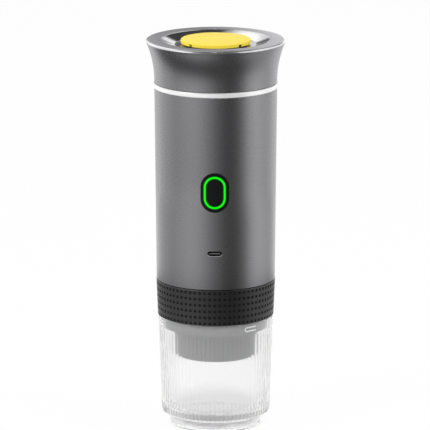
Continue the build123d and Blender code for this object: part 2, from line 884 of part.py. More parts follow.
# Pump head: cam chamber, outlet stub in its floor and an inlet elbow at its side
with BuildPart() as pump_head:
    with BuildSketch(Plane.XZ):
        ring(0, pump_radius, chassis_top, pump_top)
        ring(0, cam_chamber_radius, pump_top - cam_chamber_depth, pump_top, mode=Mode.SUBTRACT)
    revolve(axis=Axis.Z)
    with BuildSketch(front_plane((cam_chamber_radius + pump_radius) / 2, inlet_axis)):
        Circle(inlet_elbow_radius)
    extrude(amount=inlet_offset - (cam_chamber_radius + pump_radius) / 2)
    with BuildSketch(Plane.XY.offset(inlet_axis - inlet_elbow_radius)):
        with Locations((0, -inlet_offset)):
            Circle(inlet_elbow_radius)
    extrude(amount=2 * inlet_elbow_radius)
    with BuildSketch(Plane.XY.offset(inlet_shoulder)):
        with Locations((0, -inlet_offset)):
            Circle(barb_radius)
    extrude(amount=barb_length)
    with BuildSketch(Plane.XY.offset(inlet_axis)):
        with Locations((0, -inlet_offset)):
            Circle(hose_bore / 2)
    extrude(amount=inlet_elbow_radius + barb_length, mode=Mode.SUBTRACT)
    with BuildSketch(Plane.XY.offset(chassis_bottom - stub_reach)):
        with Locations((0, stub_offset)):
            Circle(stub_radius)
            Circle(stub_bore, mode=Mode.SUBTRACT)
    extrude(amount=chassis_top - chassis_bottom + stub_reach)

# Motor on top of the pump head
with BuildPart() as pump_motor:
    with BuildSketch(Plane.XZ):
        ring(0, motor_radius, pump_top, pump_top + motor_height)
        ring(0, motor_boss_radius, pump_top + motor_height, pump_top + motor_height + motor_boss_height)
        ring(0, shaft_radius + running_fit, pump_top, pump_top + shaft_in_motor + slip, mode=Mode.SUBTRACT)
    revolve(axis=Axis.Z)

# Motor shaft with the eccentric cam that drives the pump
with BuildPart() as drive_cam:
    cam_bottom = pump_top - cam_chamber_depth + cam_foot_gap
    with BuildSketch(Plane.XZ):
        ring(0, shaft_radius, cam_bottom, pump_top + shaft_in_motor)
    revolve(axis=Axis.Z)
    with BuildSketch(Plane.XY.offset(cam_bottom)):
        with Locations((cam_offset, 0)):
            Circle(cam_radius)
    extrude(amount=cam_thickness)

# Silicone hose from the tank's nipple down to the pump
with BuildPart() as suction_hose:
    hose_bottom = inlet_shoulder + hose_end_gap
    with BuildSketch(Plane.XY.offset(hose_bottom)):
        with Locations((0, -inlet_offset)):
            Circle(hose_radius)
            Circle(hose_bore, mode=Mode.SUBTRACT)
    extrude(amount=deck_bottom - hose_end_gap - hose_bottom)

# Control board, held upright between the chassis and the deck
with BuildPart() as control_board:
    with BuildSketch(Plane.XY.offset(cell_bottom)):
        with Locations((0, -board_middle)):
            Rectangle(board_width, board_thickness)
    extrude(amount=cell_length)

# Tactile switch on the board
with BuildPart() as button_switch:
    with BuildSketch(front_plane(board_front, button_level)):
        Rectangle(switch_width, switch_width)
    extrude(amount=switch_thickness)
    with BuildSketch(front_plane(switch_front - switch_bore_depth, button_level)):
        Circle(plunger_radius + slip)
    extrude(amount=switch_bore_depth, mode=Mode.SUBTRACT)

# Plunger of the switch, which moves with the button
with BuildPart() as switch_plunger:
    with BuildSketch(front_plane(switch_front - plunger_engagement, button_level)):
        Circle(plunger_radius)
    extrude(amount=plunger_tip - switch_front + plunger_engagement)

# Button cap: stadium that follows the housing, with a flange that keeps it in
with BuildPart() as button_cap:
    with BuildSketch(front_plane(cap_back, button_level)):
        upright_slot(cap_width, cap_length)
    extrude(amount=button_skin)
    with BuildSketch(Plane.XZ):
        housing_skin(cap_proud)
    revolve(axis=Axis.Z, mode=Mode.INTERSECT)
    with BuildSketch(front_plane(cap_back, button_level)):
        upright_slot(cap_width + 2 * cap_flange_reach, cap_length + 2 * cap_flange_reach)
    extrude(amount=cap_flange_thickness)
    with BuildSketch(front_plane(plunger_tip, button_level)):
        Circle(cap_stem_radius)
    extrude(amount=cap_back - plunger_tip)

# Light guide round the button
with BuildPart() as light_ring:
    with BuildSketch(front_plane(bezel_flange_front, button_level)):
        upright_slot(light_width, light_length)
        upright_slot(light_inner_width, light_inner_length, mode=Mode.SUBTRACT)
    extrude(amount=button_skin)
    with BuildSketch(Plane.XZ):
        housing_skin(light_proud)
    revolve(axis=Axis.Z, mode=Mode.INTERSECT)

# Bezel: frame in the housing's cut-out, with a flange behind the wall and a ledge for the light
with BuildPart() as button_bezel:
    with BuildSketch(front_plane(bezel_back, button_level)):
        upright_slot(bezel_width, bezel_length)
    extrude(amount=button_skin)
    with BuildSketch(Plane.XZ):
        housing_skin(bezel_proud)
    revolve(axis=Axis.Z, mode=Mode.INTERSECT)
    with BuildSketch(front_plane(bezel_back, button_level)):
        upright_slot(2 * bezel_flange_half, bezel_length + 2 * bezel_flange_reach)
    extrude(amount=bezel_flange_thickness)
    with BuildSketch(front_plane(bezel_flange_front, button_level)):
        upright_slot(light_width + 2 * slip, light_length + 2 * slip)
    extrude(amount=button_skin, mode=Mode.SUBTRACT)
    with BuildSketch(front_plane(bezel_back, button_level)):
        upright_slot(light_width - 2 * light_ledge, light_length - 2 * light_ledge)
    extrude(amount=bezel_flange_thickness, mode=Mode.SUBTRACT)

# Charging socket: drawn shell with a closed back
with BuildPart() as usb_shell:
    with BuildSketch(front_plane(usb_back, usb_level)):
        SlotOverall(usb_outer_width, usb_outer_height)
    extrude(amount=usb_depth)
    with BuildSketch(front_plane(usb_back + usb_wall, usb_level)):
        SlotOverall(usb_mouth_width, usb_mouth_height)
    extrude(amount=usb_depth, mode=Mode.SUBTRACT)

# Contact tongue in the middle of the socket
with BuildPart() as usb_tongue:
    with BuildSketch(front_plane(usb_back + usb_wall, usb_level)):
        Rectangle(usb_tongue_width, usb_tongue_thickness)
    extrude(amount=usb_depth - usb_wall - usb_tongue_recess)

# Small board that carries the socket, standing out from the control board
with BuildPart() as usb_board:
    usb_board_front = usb_front - usb_board_overhang
    with BuildSketch(front_plane(board_front, usb_board_top - usb_board_thickness / 2)):
        Rectangle(usb_board_width, usb_board_thickness)
    extrude(amount=usb_board_front - board_front)

# Lid shell: flared skirt and flat rim
with BuildPart() as lid_shell:
    with BuildSketch(Plane.XZ):
        with BuildLine():
            Line((0, lid_bottom), (housing_top_radius, lid_bottom))
            Line((housing_top_radius, lid_bottom), (housing_top_radius, lid_flare_bottom))
            TangentArc(
                (housing_top_radius, lid_flare_bottom), (lid_corner_radius, lid_top), tangent=(0, 1)
            )
            Polyline((lid_corner_radius, lid_top), (0, lid_top), (0, lid_bottom))
        make_face()
    revolve(axis=Axis.Z)
    fillet(lid_shell.edges().group_by(Axis.Z)[-1], lid_edge_fillet)
    with BuildSketch(Plane.XZ):
        with BuildLine():
            Line((0, lid_bottom), (lid_bore, lid_bottom))
            Line((lid_bore, lid_bottom), (lid_bore, lid_flare_bottom))
            TangentArc((lid_bore, lid_flare_bottom), (lid_inner_corner, lid_inner_top), tangent=(0, 1))
            Polyline((lid_inner_corner, lid_inner_top), (0, lid_inner_top), (0, lid_bottom))
        make_face()
        ring(0, dish_rim_radius, lid_inner_top, lid_top)
    revolve(axis=Axis.Z, mode=Mode.SUBTRACT)

# Polished dish, held under the lid's rim by its lip
with BuildPart() as lid_dish:
    dish_radius = dish_rim_radius - slip
    with BuildSketch(Plane.XZ):
        with BuildLine():
            Polyline(
                (vent_tube_bore, dish_underside),
                (dish_floor_radius, dish_underside),
                (dish_radius, dish_lip_bottom),
                (dish_radius + dish_lip_width, dish_lip_bottom),
                (dish_radius + dish_lip_width, lid_inner_top),
                (dish_radius, lid_inner_top),
                (dish_radius, lid_top - slip),
                (dish_floor_radius, dish_floor),
                (vent_tube_bore, dish_floor),
                close=True,
            )
        make_face()
    revolve(axis=Axis.Z)

# Liner: flange in the lid, threaded spigot for the neck and the vent tube
with BuildPart() as lid_liner:
    with BuildSketch(Plane.XZ):
        ring(liner_spigot_radius - liner_wall, liner_radius, lid_bottom, liner_flange_top)
        ring(liner_spigot_radius - liner_wall, liner_spigot_radius, liner_bottom, liner_flange_top)
        ring(vent_tube_bore, liner_spigot_radius, liner_bottom, liner_bottom + liner_floor)
        ring(vent_tube_bore, vent_tube_radius, liner_bottom, dish_underside)
        ring(
            lid_seal_inner - slip,
            lid_seal_inner + lid_seal_width + slip,
            lid_bottom,
            lid_seal_bottom + lid_seal_height,
            mode=Mode.SUBTRACT,
        )
    revolve(axis=Axis.Z)

# Seal between the lid's flange and the neck
with BuildPart() as lid_seal:
    with BuildSketch(Plane.XZ):
        ring(
            lid_seal_inner,
            lid_seal_inner + lid_seal_width,
            lid_seal_bottom,
            lid_seal_bottom + lid_seal_height,
        )
    revolve(axis=Axis.Z)

# Stopper under the cap: neck in the dish and hollow stem in the vent tube
with BuildPart() as vent_valve:
    with BuildSketch(Plane.XZ):
        ring(0, vent_cap_radius - vent_neck_inset, vent_neck_bottom, vent_cap_bottom)
        ring(0, vent_stem_radius, vent_stem_bottom, vent_neck_bottom)
        ring(
            0,
            vent_stem_radius - vent_stem_wall,
            vent_stem_bottom,
            vent_neck_bottom - vent_stem_wall,
            mode=Mode.SUBTRACT,
        )
    revolve(axis=Axis.Z)

# Yellow cap with four notches in its lower edge
with BuildPart() as vent_cap:
    with BuildSketch(Plane.XY.offset(vent_cap_bottom)):
        Circle(vent_cap_radius)
    extrude(amount=vent_cap_thickness)
    fillet(vent_cap.edges().group_by(Axis.Z)[-1], vent_cap_fillet)
    with BuildSketch(Plane.XY.offset(vent_cap_bottom)):
        with PolarLocations(vent_cap_radius, vent_notch_count, start_angle=180 / vent_notch_count):
            Rectangle(2 * vent_notch_depth, vent_notch_width)
    extrude(amount=vent_notch_height, mode=Mode.SUBTRACT)

pieces = {
    "cup": cup,
    "cup_seal": cup_seal,
    "brew_chamber": brew_chamber,
    "grip_ring": grip_ring,
    "filter_basket": filter_basket,
    "outlet_nozzle": outlet_nozzle,
    "group_gasket": group_gasket,
    "group_head": group_head,
    "shower_plate": shower_plate,
    "shower_screw": shower_screw,
    "main_housing": main_housing,
    "trim_ring": trim_ring,
    "neck_ring": neck_ring,
    "tank_gasket": tank_gasket,
    "water_tank": water_tank,
    "tank_outlet": tank_outlet,
    "heater_plate": heater_plate,
    "thermal_fuse": thermal_fuse,
    "chassis_base": chassis_base,
    "tank_cradle": tank_cradle,
    "frame_screws": frame_screws,
    "battery_cells": battery_cells,
    "pump_head": pump_head,
    "pump_motor": pump_motor,
    "drive_cam": drive_cam,
    "suction_hose": suction_hose,
    "control_board": control_board,
    "button_switch": button_switch,
    "switch_plunger": switch_plunger,
    "button_cap": button_cap,
    "light_ring": light_ring,
    "button_bezel": button_bezel,
    "usb_shell": usb_shell,
    "usb_tongue": usb_tongue,
    "usb_board": usb_board,
    "lid_shell": lid_shell,
    "lid_dish": lid_dish,
    "lid_liner": lid_liner,
    "lid_seal": lid_seal,
    "vent_valve": vent_valve,
    "vent_cap": vent_cap,
}

os.makedirs("parts", exist_ok=True)
for name, piece in pieces.items():
    piece.part.label = name
    export_step(piece.part, f"parts/{name}.step")
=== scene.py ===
"""Looks of a portable coffee maker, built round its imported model, in metres and in its frame."""
from math import asin, copysign, cos, degrees, pi, radians, sin, sqrt, tan

import bmesh
import bpy
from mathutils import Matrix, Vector


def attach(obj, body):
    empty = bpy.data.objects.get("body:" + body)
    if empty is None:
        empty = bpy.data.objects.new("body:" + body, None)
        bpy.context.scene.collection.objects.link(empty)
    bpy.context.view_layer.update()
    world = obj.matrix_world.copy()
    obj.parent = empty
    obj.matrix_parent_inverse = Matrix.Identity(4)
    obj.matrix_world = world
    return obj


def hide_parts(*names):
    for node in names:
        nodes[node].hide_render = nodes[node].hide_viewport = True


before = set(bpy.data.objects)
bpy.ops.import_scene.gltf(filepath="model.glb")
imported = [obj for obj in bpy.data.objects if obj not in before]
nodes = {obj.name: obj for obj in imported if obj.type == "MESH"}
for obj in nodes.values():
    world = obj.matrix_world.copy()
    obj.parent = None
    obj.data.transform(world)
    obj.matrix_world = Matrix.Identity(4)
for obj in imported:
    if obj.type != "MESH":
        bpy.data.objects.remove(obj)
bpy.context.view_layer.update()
scene = bpy.context.scene
scene.view_settings.view_transform = "Standard"

# Sizes are in millimetres, and one of them is this many metres
MM = 0.001

# Lid
LID_BOTTOM = 216.8
LID_TOP = 243.3
FLARE_BOTTOM = 217.4
LID_FOOT_RADIUS = 38.0
LID_CORNER_RADIUS = 43.69
LID_WALL = 1.4
LID_EDGE_FILLET = 1.2
LID_FOOT_FILLET = 0.2
LID_BORE_FILLET = 0.35
LID_FILLET_STEPS = 10
FLAT_RIM_SLOPE = 0.98
DISH_RIM_RADIUS = 33.4
DISH_FLOOR_RADIUS = 25.3
DISH_FLOOR = 240.2
DISH_SHEET = 0.8
DISH_LIP = 2.6
DISH_CLEARANCE = 0.1
DISH_EDGE_FILLET = 0.3
DISH_FLOOR_FILLET = 1.5
DISH_UNDER_FILLET = 1.0
VENT_HOLE_RADIUS = 14.0
LATHE_COLUMNS = 192

# Yellow cap
CAP_RADIUS = 21.65
CAP_BOTTOM = 241.2
CAP_TOP = 243.6
CAP_LOWER_FILLET = 0.25
CAP_UPPER_FILLET = 0.7
CAP_COLUMNS = 180
CAP_NOTCH_COUNT = 4
CAP_NOTCH_HALF_ANGLE = 3.0
CAP_NOTCH_DEPTH = 2.4
CAP_NOTCH_HEIGHT = 1.4
CAP_NOTCH_WALL_SHARE = 0.02
CAP_NOTCH_PUSHED_SHARE = 0.9
# Share of the notch floor's radius beyond which the notch faces are painted black as shade
CAP_NOTCH_SHADE_SHARE = 0.99

# Housing, trim ring, button and socket
HOUSING_BOTTOM = 92.6
HOUSING_TOP = 213.6
HOUSING_BOTTOM_RADIUS = 36.8
HOUSING_TOP_RADIUS = 38.0
HOUSING_WALL = 1.6
HOUSING_FOOT_CHAMFER = 0.3
HOUSING_TOP_CHAMFER = 0.15
HOUSING_ROWS = 80
HOUSING_COLUMNS = 256
TRIM_TOP = 216.6
TRIM_PROUD = 0.45
TRIM_BORE = 34.7
TRIM_SPIGOT_RADIUS = 36.2
TRIM_SPIGOT_DEPTH = 2.5
TRIM_FILLET = 0.5
TRIM_BORE_FILLET = 0.2
BUTTON_LEVEL = 154.3
BUTTON_CUT = (17.1, 24.5)
LIGHT_STRAIGHT = 3.4
LIGHT_MIDDLE = 6.125
LIGHT_BRIGHT_HALF = 0.4
LIGHT_DARK_HALF = 0.8
SOCKET_LEVEL = 115.6
SOCKET_CUT = (9.0, 3.22)
SOCKET_SHELL_FRONT = -36.68
SOCKET_TONGUE_FRONT = -35.98
SOCKET_SHADE_DEPTH = 0.35
CUT_REACH = 8.0
CUT_CHAMFER = 0.2

# Grip ring with its dimples
BAND_BOTTOM = 69.6
BAND_TOP = 92.4
BAND_BOTTOM_RADIUS = 36.05
BAND_TOP_RADIUS = 37.0
BAND_BORE = 34.35
BAND_BOTTOM_FILLET = 0.5
BAND_TOP_FILLET = 0.4
DIMPLE_COLUMNS = 74
DIMPLE_ROWS = 6
DIMPLE_FIRST_LEVEL = 71.15
DIMPLE_PITCH = 3.87
DIMPLE_WIDTH = 1.6
DIMPLE_DEPTH = 0.55
DIMPLE_FLOOR_SHARE = 0.7
FRONT = -90

# Cup
CUP_FOOT_RADIUS = 29.3
CUP_FOOT_HEIGHT = 6.0
CUP_FOOT_RECESS = 0.8
CUP_FOOT_RECESS_RADIUS = 25.3
CUP_BASE_EDGE = 8.1
CUP_BASE_RADIUS = 33.7
CUP_RIM = 69.4
CUP_RIM_RADIUS = 35.8
CUP_COLLAR = 62.2
CUP_COLLAR_PROUD = 0.1
CUP_BORE = 33.2
CUP_FLOOR = 9.8
CUP_CAVITY_RADIUS = 31.15
CUP_RECESS_FILLET = 0.4
CUP_FOOT_INNER_FILLET = 0.3
CUP_FOOT_OUTER_FILLET = 0.7
CUP_FOOT_TOP_FILLET = 0.3
CUP_COLLAR_FILLET = 0.1
CUP_RIM_FILLET = 0.3
CUP_CAVITY_FILLET = 9.0
FLUTE_COUNT = 80
FLUTE_DEPTH = 0.35
FLUTE_ROWS = 10
FLUTE_COLUMNS = 8
FLUTE_TOP_GAP = 0.6
FLUTE_BOTTOM_GAP = 0.5
FLUTE_LEVEL_SLACK = 0.1
CUP_ROUGHNESS = 0.25
CUP_IOR = 1.12
CUP_CLEARNESS = 0.93
CLEAR_WHITE = "#FEFEFE"
# Painted shade lines in the grooves between the flutes: their colour, their width, and the facing and heights
# where they show
CUP_GROOVE_PAINTED_SHADE = "#E8E8E8"
GROOVE_WIDTH = 0.6
GROOVE_FACING = (0.15, 0.45)
GROOVE_FADES = ((26.0, 20.0), (44.0, 48.0))
# Height in millimetres above which the cup has no painted shade
CUP_CLEAR_LEVEL = 24.0
CUP_OUTSIDE_RADIUS = 32.0
# Painted shade inside the cup, by height in millimetres: greyer towards the floor
CUP_INNER_PAINTED_SHADE = {
    0.0: "#CACACA", 9.9: "#CACACA", 10.6: "#DADADA", 13.0: "#F0F0F0", 18.0: "#FCFCFC",
    CUP_CLEAR_LEVEL: CLEAR_WHITE,
}
# Painted light and shade outside the cup, by height in millimetres: a dark painted contact shadow at the
# foot's bottom, painted highlight lines on the foot and at the base edge, painted shade on the foot and in a
# band round the base, lighter up the wall
CUP_OUTER_PAINTED_LIGHT_AND_SHADE = {
    0.0: "#2C2C2C", 0.8: "#2C2C2C", 1.2: "#FAFAFA", 2.6: "#FAFAFA", 3.4: "#D0D0D0", 4.2: "#A8A8A8",
    5.2: "#848484", 6.0: "#747474", 7.8: "#747474", 8.0: "#D0D0D0", 8.4: "#D0D0D0", 8.6: "#6A6A6A",
    11.6: "#6A6A6A", 12.0: "#B4B4B4", 12.8: "#D2D2D2", 14.5: "#E8E8E8", 17.0: "#F8F8F8",
    CUP_CLEAR_LEVEL: CLEAR_WHITE,
}
# Share of painted light that lightens the spigot above the collar
SPIGOT_PAINTED_LIGHT = 0.3
LUG_START = -56.2
LUG_ARC = 15.0
LUG_COUNT = 3
LUG_BOTTOM = 64.05
LUG_TOP = 66.95
LUG_BEAD = 0.3
LUG_END_STEPS = 10
LUG_SECTION_POINTS = 10
LUG_SHARP_ANGLE = 60

# Screw threads
THREAD_DEPTH = 0.8
THREAD_WIDTH = 1.6
THREAD_TIP_SHARE = 0.45
THREAD_STARTS = 3
THREAD_STEPS = 96
OUTSIDE = 1
INSIDE = -1
LID_LEAD = 9.6
LID_THREAD_FOOT = 208.8
LID_THREAD_HEIGHT = 4.0
LID_SPIGOT_RADIUS = 30.2
NECK_BORE = 31.2
HEAD_LEAD = 12.0
HEAD_THREAD_FOOT = 84.0
HEAD_THREAD_HEIGHT = 5.0
HEAD_SPIGOT_RADIUS = 30.45
CHAMBER_BORE = 31.45


# Helpers for nodes and materials

# Colour sockets of a Mix node, which share their names with its other sockets
MIX_FIRST = 6
MIX_SECOND = 7
MIX_RESULT = 2


def linear(code):
    """Turn an sRGB hex value into linear red, green, blue and alpha."""
    shares = [int(code[place:place + 2], 16) / 255 for place in (1, 3, 5)]
    levels = [share / 12.92 if share < 0.04045 else ((share + 0.055) / 1.055) ** 2.4 for share in shares]
    return levels + [1.0]


def add(tree, kind, inputs=None, **settings):
    """Add a node with its settings, and give its inputs values or links."""
    node = tree.nodes.new(kind)
    for key, value in settings.items():
        setattr(node, key, value)
    for key, value in (inputs or {}).items():
        if isinstance(value, bpy.types.NodeSocket):
            tree.links.new(value, node.inputs[key])
        else:
            node.inputs[key].default_value = value
    return node


def surface(name, code, roughness, metallic=0.0, **sockets):
    """Start a material of one colour, and give back the material, its tree and its shader."""
    material = bpy.data.materials.new(name)
    material.use_nodes = True
    tree = material.node_tree
    tree.nodes.clear()
    values = {"Base Color": linear(code), "Roughness": roughness, "Metallic": metallic}
    values.update({key.replace("_", " "): value for key, value in sockets.items()})
    shader = add(tree, "ShaderNodeBsdfPrincipled", values)
    add(tree, "ShaderNodeOutputMaterial", {"Surface": shader.outputs[0]})
    return material, tree, shader


def shade_between(tree, shader, share, low, high, socket="Base Color"):
    """Let a pattern move one socket between two colours or two numbers."""
    ramp = add(tree, "ShaderNodeValToRGB", {"Fac": share})
    for stop, end in zip(ramp.color_ramp.elements, (low, high)):
        stop.color = linear(end) if isinstance(end, str) else (end, end, end, 1)
    tree.links.new(ramp.outputs["Color"], shader.inputs[socket])


def grain(tree, shader, size, depth, stretch=(1, 1, 1), detail=3.0, roughness=0.55):
    """Add a grain of this size and depth in millimetres, and give back its pattern."""
    place = add(tree, "ShaderNodeTexCoord")
    mapping = add(tree, "ShaderNodeMapping", {"Vector": place.outputs["Object"], "Scale": stretch})
    noise = add(tree, "ShaderNodeTexNoise", {
        "Vector": mapping.outputs[0], "Scale": 1 / (size * MM), "Detail": detail, "Roughness": roughness,
    })
    bump = add(tree, "ShaderNodeBump", {"Height": noise.outputs[0], "Distance": depth * MM, "Strength": 1.0})
    tree.links.new(bump.outputs[0], shader.inputs["Normal"])
    return noise.outputs[0]


def turned_rings(tree, shader, pitch, depth, detail=4.0):
    """Add the fine rings that a lathe or a polishing wheel leaves, and give back their pattern."""
    place = add(tree, "ShaderNodeTexCoord")
    flat = add(tree, "ShaderNodeVectorMath", {0: place.outputs["Object"], 1: (1, 1, 0)}, operation="MULTIPLY")
    length = add(tree, "ShaderNodeVectorMath", {0: flat.outputs[0]}, operation="LENGTH")
    height = add(tree, "ShaderNodeSeparateXYZ", {0: place.outputs["Object"]})
    sides = add(tree, "ShaderNodeCombineXYZ", {"X": length.outputs["Value"], "Y": height.outputs["Z"]})
    noise = add(tree, "ShaderNodeTexNoise", {
        "Vector": sides.outputs[0], "Scale": 1 / (pitch * MM), "Detail": detail,
    })
    bump = add(tree, "ShaderNodeBump", {"Height": noise.outputs[0], "Distance": depth * MM, "Strength": 1.0})
    tree.links.new(bump.outputs[0], shader.inputs["Normal"])
    return noise.outputs[0]


# Materials

# Blasted and anodised aluminium: grey metal with a broad, soft sheen. Its grit of about 0.1 mm is
# drawn at 0.35 mm, because it is too fine to show
gunmetal, tree, shader = surface("anodised_aluminium_gunmetal", "#929294", roughness=0.27, metallic=1.0)
pattern = grain(tree, shader, size=0.35, depth=0.0005)
shade_between(tree, shader, pattern, low=0.25, high=0.29, socket="Roughness")

# Turned and anodised face of the lid's rim: a lighter satin with fine rings
turned_face, tree, shader = surface("turned_aluminium_rim", "#CCCCCF", roughness=0.28, metallic=1.0)
pattern = turned_rings(tree, shader, pitch=0.35, depth=0.004)
shade_between(tree, shader, pattern, "#BCBCBF", "#DCDCDF")

# Rolled edge of the rim: polished before it was anodised, so that it draws thin lines of light
polished_edge, tree, shader = surface("polished_aluminium_edge", "#EAEAEB", roughness=0.14, metallic=1.0)
pattern = turned_rings(tree, shader, pitch=0.3, depth=0.0008)
shade_between(tree, shader, pattern, low=0.11, high=0.18, socket="Roughness")

# Polished aluminium dish: a clear mirror with hair-fine polishing rings
polished, tree, shader = surface("polished_aluminium_dish", "#EDEDEE", roughness=0.10, metallic=1.0)
pattern = turned_rings(tree, shader, pitch=0.5, depth=0.0003)
shade_between(tree, shader, pattern, low=0.07, high=0.13, socket="Roughness")

# Polished trim: bright, nearly white metal
bright_trim, tree, shader = surface("polished_aluminium_trim", "#F2F2F2", roughness=0.22, metallic=0.35)
pattern = turned_rings(tree, shader, pitch=0.4, depth=0.001)
shade_between(tree, shader, pattern, low=0.18, high=0.27, socket="Roughness")

# Moulded silicone rubber of the grip: black, softly shining, with a faint eroded grain
grip_rubber, tree, shader = surface("moulded_rubber_grip", "#111111", roughness=0.34, Specular_IOR_Level=0.8)
pattern = grain(tree, shader, size=0.4, depth=0.012)
shade_between(tree, shader, pattern, "#0E0E0E", "#151515")

# The same rubber in the dimples, where the mould's pins left it dull
dull_rubber, tree, shader = surface(
    "moulded_rubber_dimples", "#141414", roughness=0.7, Specular_IOR_Level=0.3,
)
pattern = grain(tree, shader, size=0.4, depth=0.012)
shade_between(tree, shader, pattern, "#101010", "#181818")

# Clear copolyester of the cup: faintly hazy under a glossy skin. Its colour carries painted light and shade:
# greyer towards the base inside, and outside a painted contact shadow at the foot's bottom, painted highlight
# lines on the foot and at the base edge, and painted shade on the foot and in a band round the base, all
# fading to white where the wall is seen edge-on. Each groove between two flutes holds a thin painted shade
# line, which shows at the sides, near the base and before the shroud
clear_plastic, tree, shader = surface(
    "clear_copolyester_cup", CLEAR_WHITE, CUP_ROUGHNESS, IOR=CUP_IOR, Transmission_Weight=CUP_CLEARNESS,
    Coat_Weight=0.6, Coat_IOR=1.5, Coat_Roughness=0.08,
)
grain(tree, shader, size=6.0, depth=0.001, stretch=(1, 1, 0.2), detail=1.0)
place = add(tree, "ShaderNodeTexCoord")
sides = add(tree, "ShaderNodeSeparateXYZ", {0: place.outputs["Object"]})
level_share = add(tree, "ShaderNodeMapRange", {
    "Value": sides.outputs["Z"], "From Min": 0.0, "From Max": CUP_CLEAR_LEVEL * MM,
})
# Painted shade by height: one ramp for the inside and one for the outside
painted_tones = []
for levels in (CUP_INNER_PAINTED_SHADE, CUP_OUTER_PAINTED_LIGHT_AND_SHADE):
    ramp = add(tree, "ShaderNodeValToRGB", {"Fac": level_share.outputs[0]})
    ramp.color_ramp.elements.remove(ramp.color_ramp.elements[1])
    for level, code in levels.items():
        stop = ramp.color_ramp.elements.new(level / CUP_CLEAR_LEVEL)
        stop.color = linear(code)
    painted_tones.append(ramp.outputs["Color"])
flat = add(tree, "ShaderNodeVectorMath", {0: place.outputs["Object"], 1: (1, 1, 0)}, operation="MULTIPLY")
reach = add(tree, "ShaderNodeVectorMath", {0: flat.outputs[0]}, operation="LENGTH")
on_wall = add(tree, "ShaderNodeMath", {
    0: reach.outputs["Value"], 1: CUP_OUTSIDE_RADIUS * MM,
}, operation="GREATER_THAN")
on_foot = add(tree, "ShaderNodeMath", {
    0: sides.outputs["Z"], 1: CUP_BASE_EDGE * MM,
}, operation="LESS_THAN")
outside = add(tree, "ShaderNodeMath", {
    0: on_wall.outputs[0], 1: on_foot.outputs[0],
}, operation="MAXIMUM")
# The painted light and shade outside fades to white where the wall is seen edge-on
edge_on = add(tree, "ShaderNodeLayerWeight", {"Blend": 0.5})
faded = add(tree, "ShaderNodeMix", {
    "Factor": edge_on.outputs["Facing"], MIX_FIRST: painted_tones[1], MIX_SECOND: linear(CLEAR_WHITE),
}, data_type="RGBA")
painted_shade_colour = add(tree, "ShaderNodeMix", {
    "Factor": outside.outputs[0], MIX_FIRST: painted_tones[0], MIX_SECOND: faded.outputs[MIX_RESULT],
}, data_type="RGBA")
# Painted shade line in each groove between two flutes, shown at the sides, near the base and before the
# shroud
turn = add(tree, "ShaderNodeMath", {0: sides.outputs["Y"], 1: sides.outputs["X"]}, operation="ARCTAN2")
phase = add(tree, "ShaderNodeMath", {0: turn.outputs[0], 1: FLUTE_COUNT / 2}, operation="MULTIPLY")
wave = add(tree, "ShaderNodeMath", {0: phase.outputs[0]}, operation="SINE")
crest = add(tree, "ShaderNodeMath", {0: wave.outputs[0]}, operation="ABSOLUTE")
groove_shade = add(tree, "ShaderNodeValToRGB", {"Fac": crest.outputs[0]})
groove_shade.color_ramp.elements[0].color = linear(CUP_GROOVE_PAINTED_SHADE)
groove_shade.color_ramp.elements[1].color = linear(CLEAR_WHITE)
groove_shade.color_ramp.elements[1].position = GROOVE_WIDTH
below_collar = add(tree, "ShaderNodeMath", {
    0: sides.outputs["Z"], 1: CUP_COLLAR * MM,
}, operation="LESS_THAN")
fluted_part = add(tree, "ShaderNodeMath", {
    0: on_wall.outputs[0], 1: below_collar.outputs[0],
}, operation="MULTIPLY")
groove_shade_shown = add(tree, "ShaderNodeMapRange", {
    "Value": edge_on.outputs["Facing"], "From Min": GROOVE_FACING[0], "From Max": GROOVE_FACING[1],
})
for faded_level, shown_level in GROOVE_FADES:
    by_level = add(tree, "ShaderNodeMapRange", {
        "Value": sides.outputs["Z"], "From Min": faded_level * MM, "From Max": shown_level * MM,
    })
    groove_shade_shown = add(tree, "ShaderNodeMath", {
        0: groove_shade_shown.outputs[0], 1: by_level.outputs[0],
    }, operation="MAXIMUM")
groove_shade_share = add(tree, "ShaderNodeMath", {
    0: fluted_part.outputs[0], 1: groove_shade_shown.outputs[0],
}, operation="MULTIPLY")
groove_shaded = add(tree, "ShaderNodeMix", {
    "Factor": groove_shade_share.outputs[0], MIX_FIRST: painted_shade_colour.outputs[MIX_RESULT],
    MIX_SECOND: groove_shade.outputs["Color"],
}, data_type="RGBA", blend_type="MULTIPLY")
side = add(tree, "ShaderNodeNewGeometry")
going_in = add(tree, "ShaderNodeMix", {
    "Factor": side.outputs["Backfacing"], MIX_FIRST: groove_shaded.outputs[MIX_RESULT],
    MIX_SECOND: linear(CLEAR_WHITE),
}, data_type="RGBA")
tree.links.new(going_in.outputs[MIX_RESULT], shader.inputs["Base Color"])

# The same clear plastic in the rounded lugs, painted white and soft as a painted highlight where light
# gathers in them
lug_highlight_plastic, tree, shader = surface("copolyester_lugs_painted_highlight", "#F2F4F4", roughness=0.45)
pattern = grain(tree, shader, size=0.5, depth=0.004)
shade_between(tree, shader, pattern, "#EEF0F0", "#F6F8F8")

# Moulded polypropylene of the brew chamber: even mid grey, softly shining, and painted a little lighter on
# the spigot that the cup screws onto, as painted light where it shows through the cup's collar
grey_plastic, tree, shader = surface("moulded_polypropylene_grey", "#747475", roughness=0.45)
pattern = grain(tree, shader, size=0.3, depth=0.006)
place = add(tree, "ShaderNodeTexCoord")
sides = add(tree, "ShaderNodeSeparateXYZ", {0: place.outputs["Object"]})
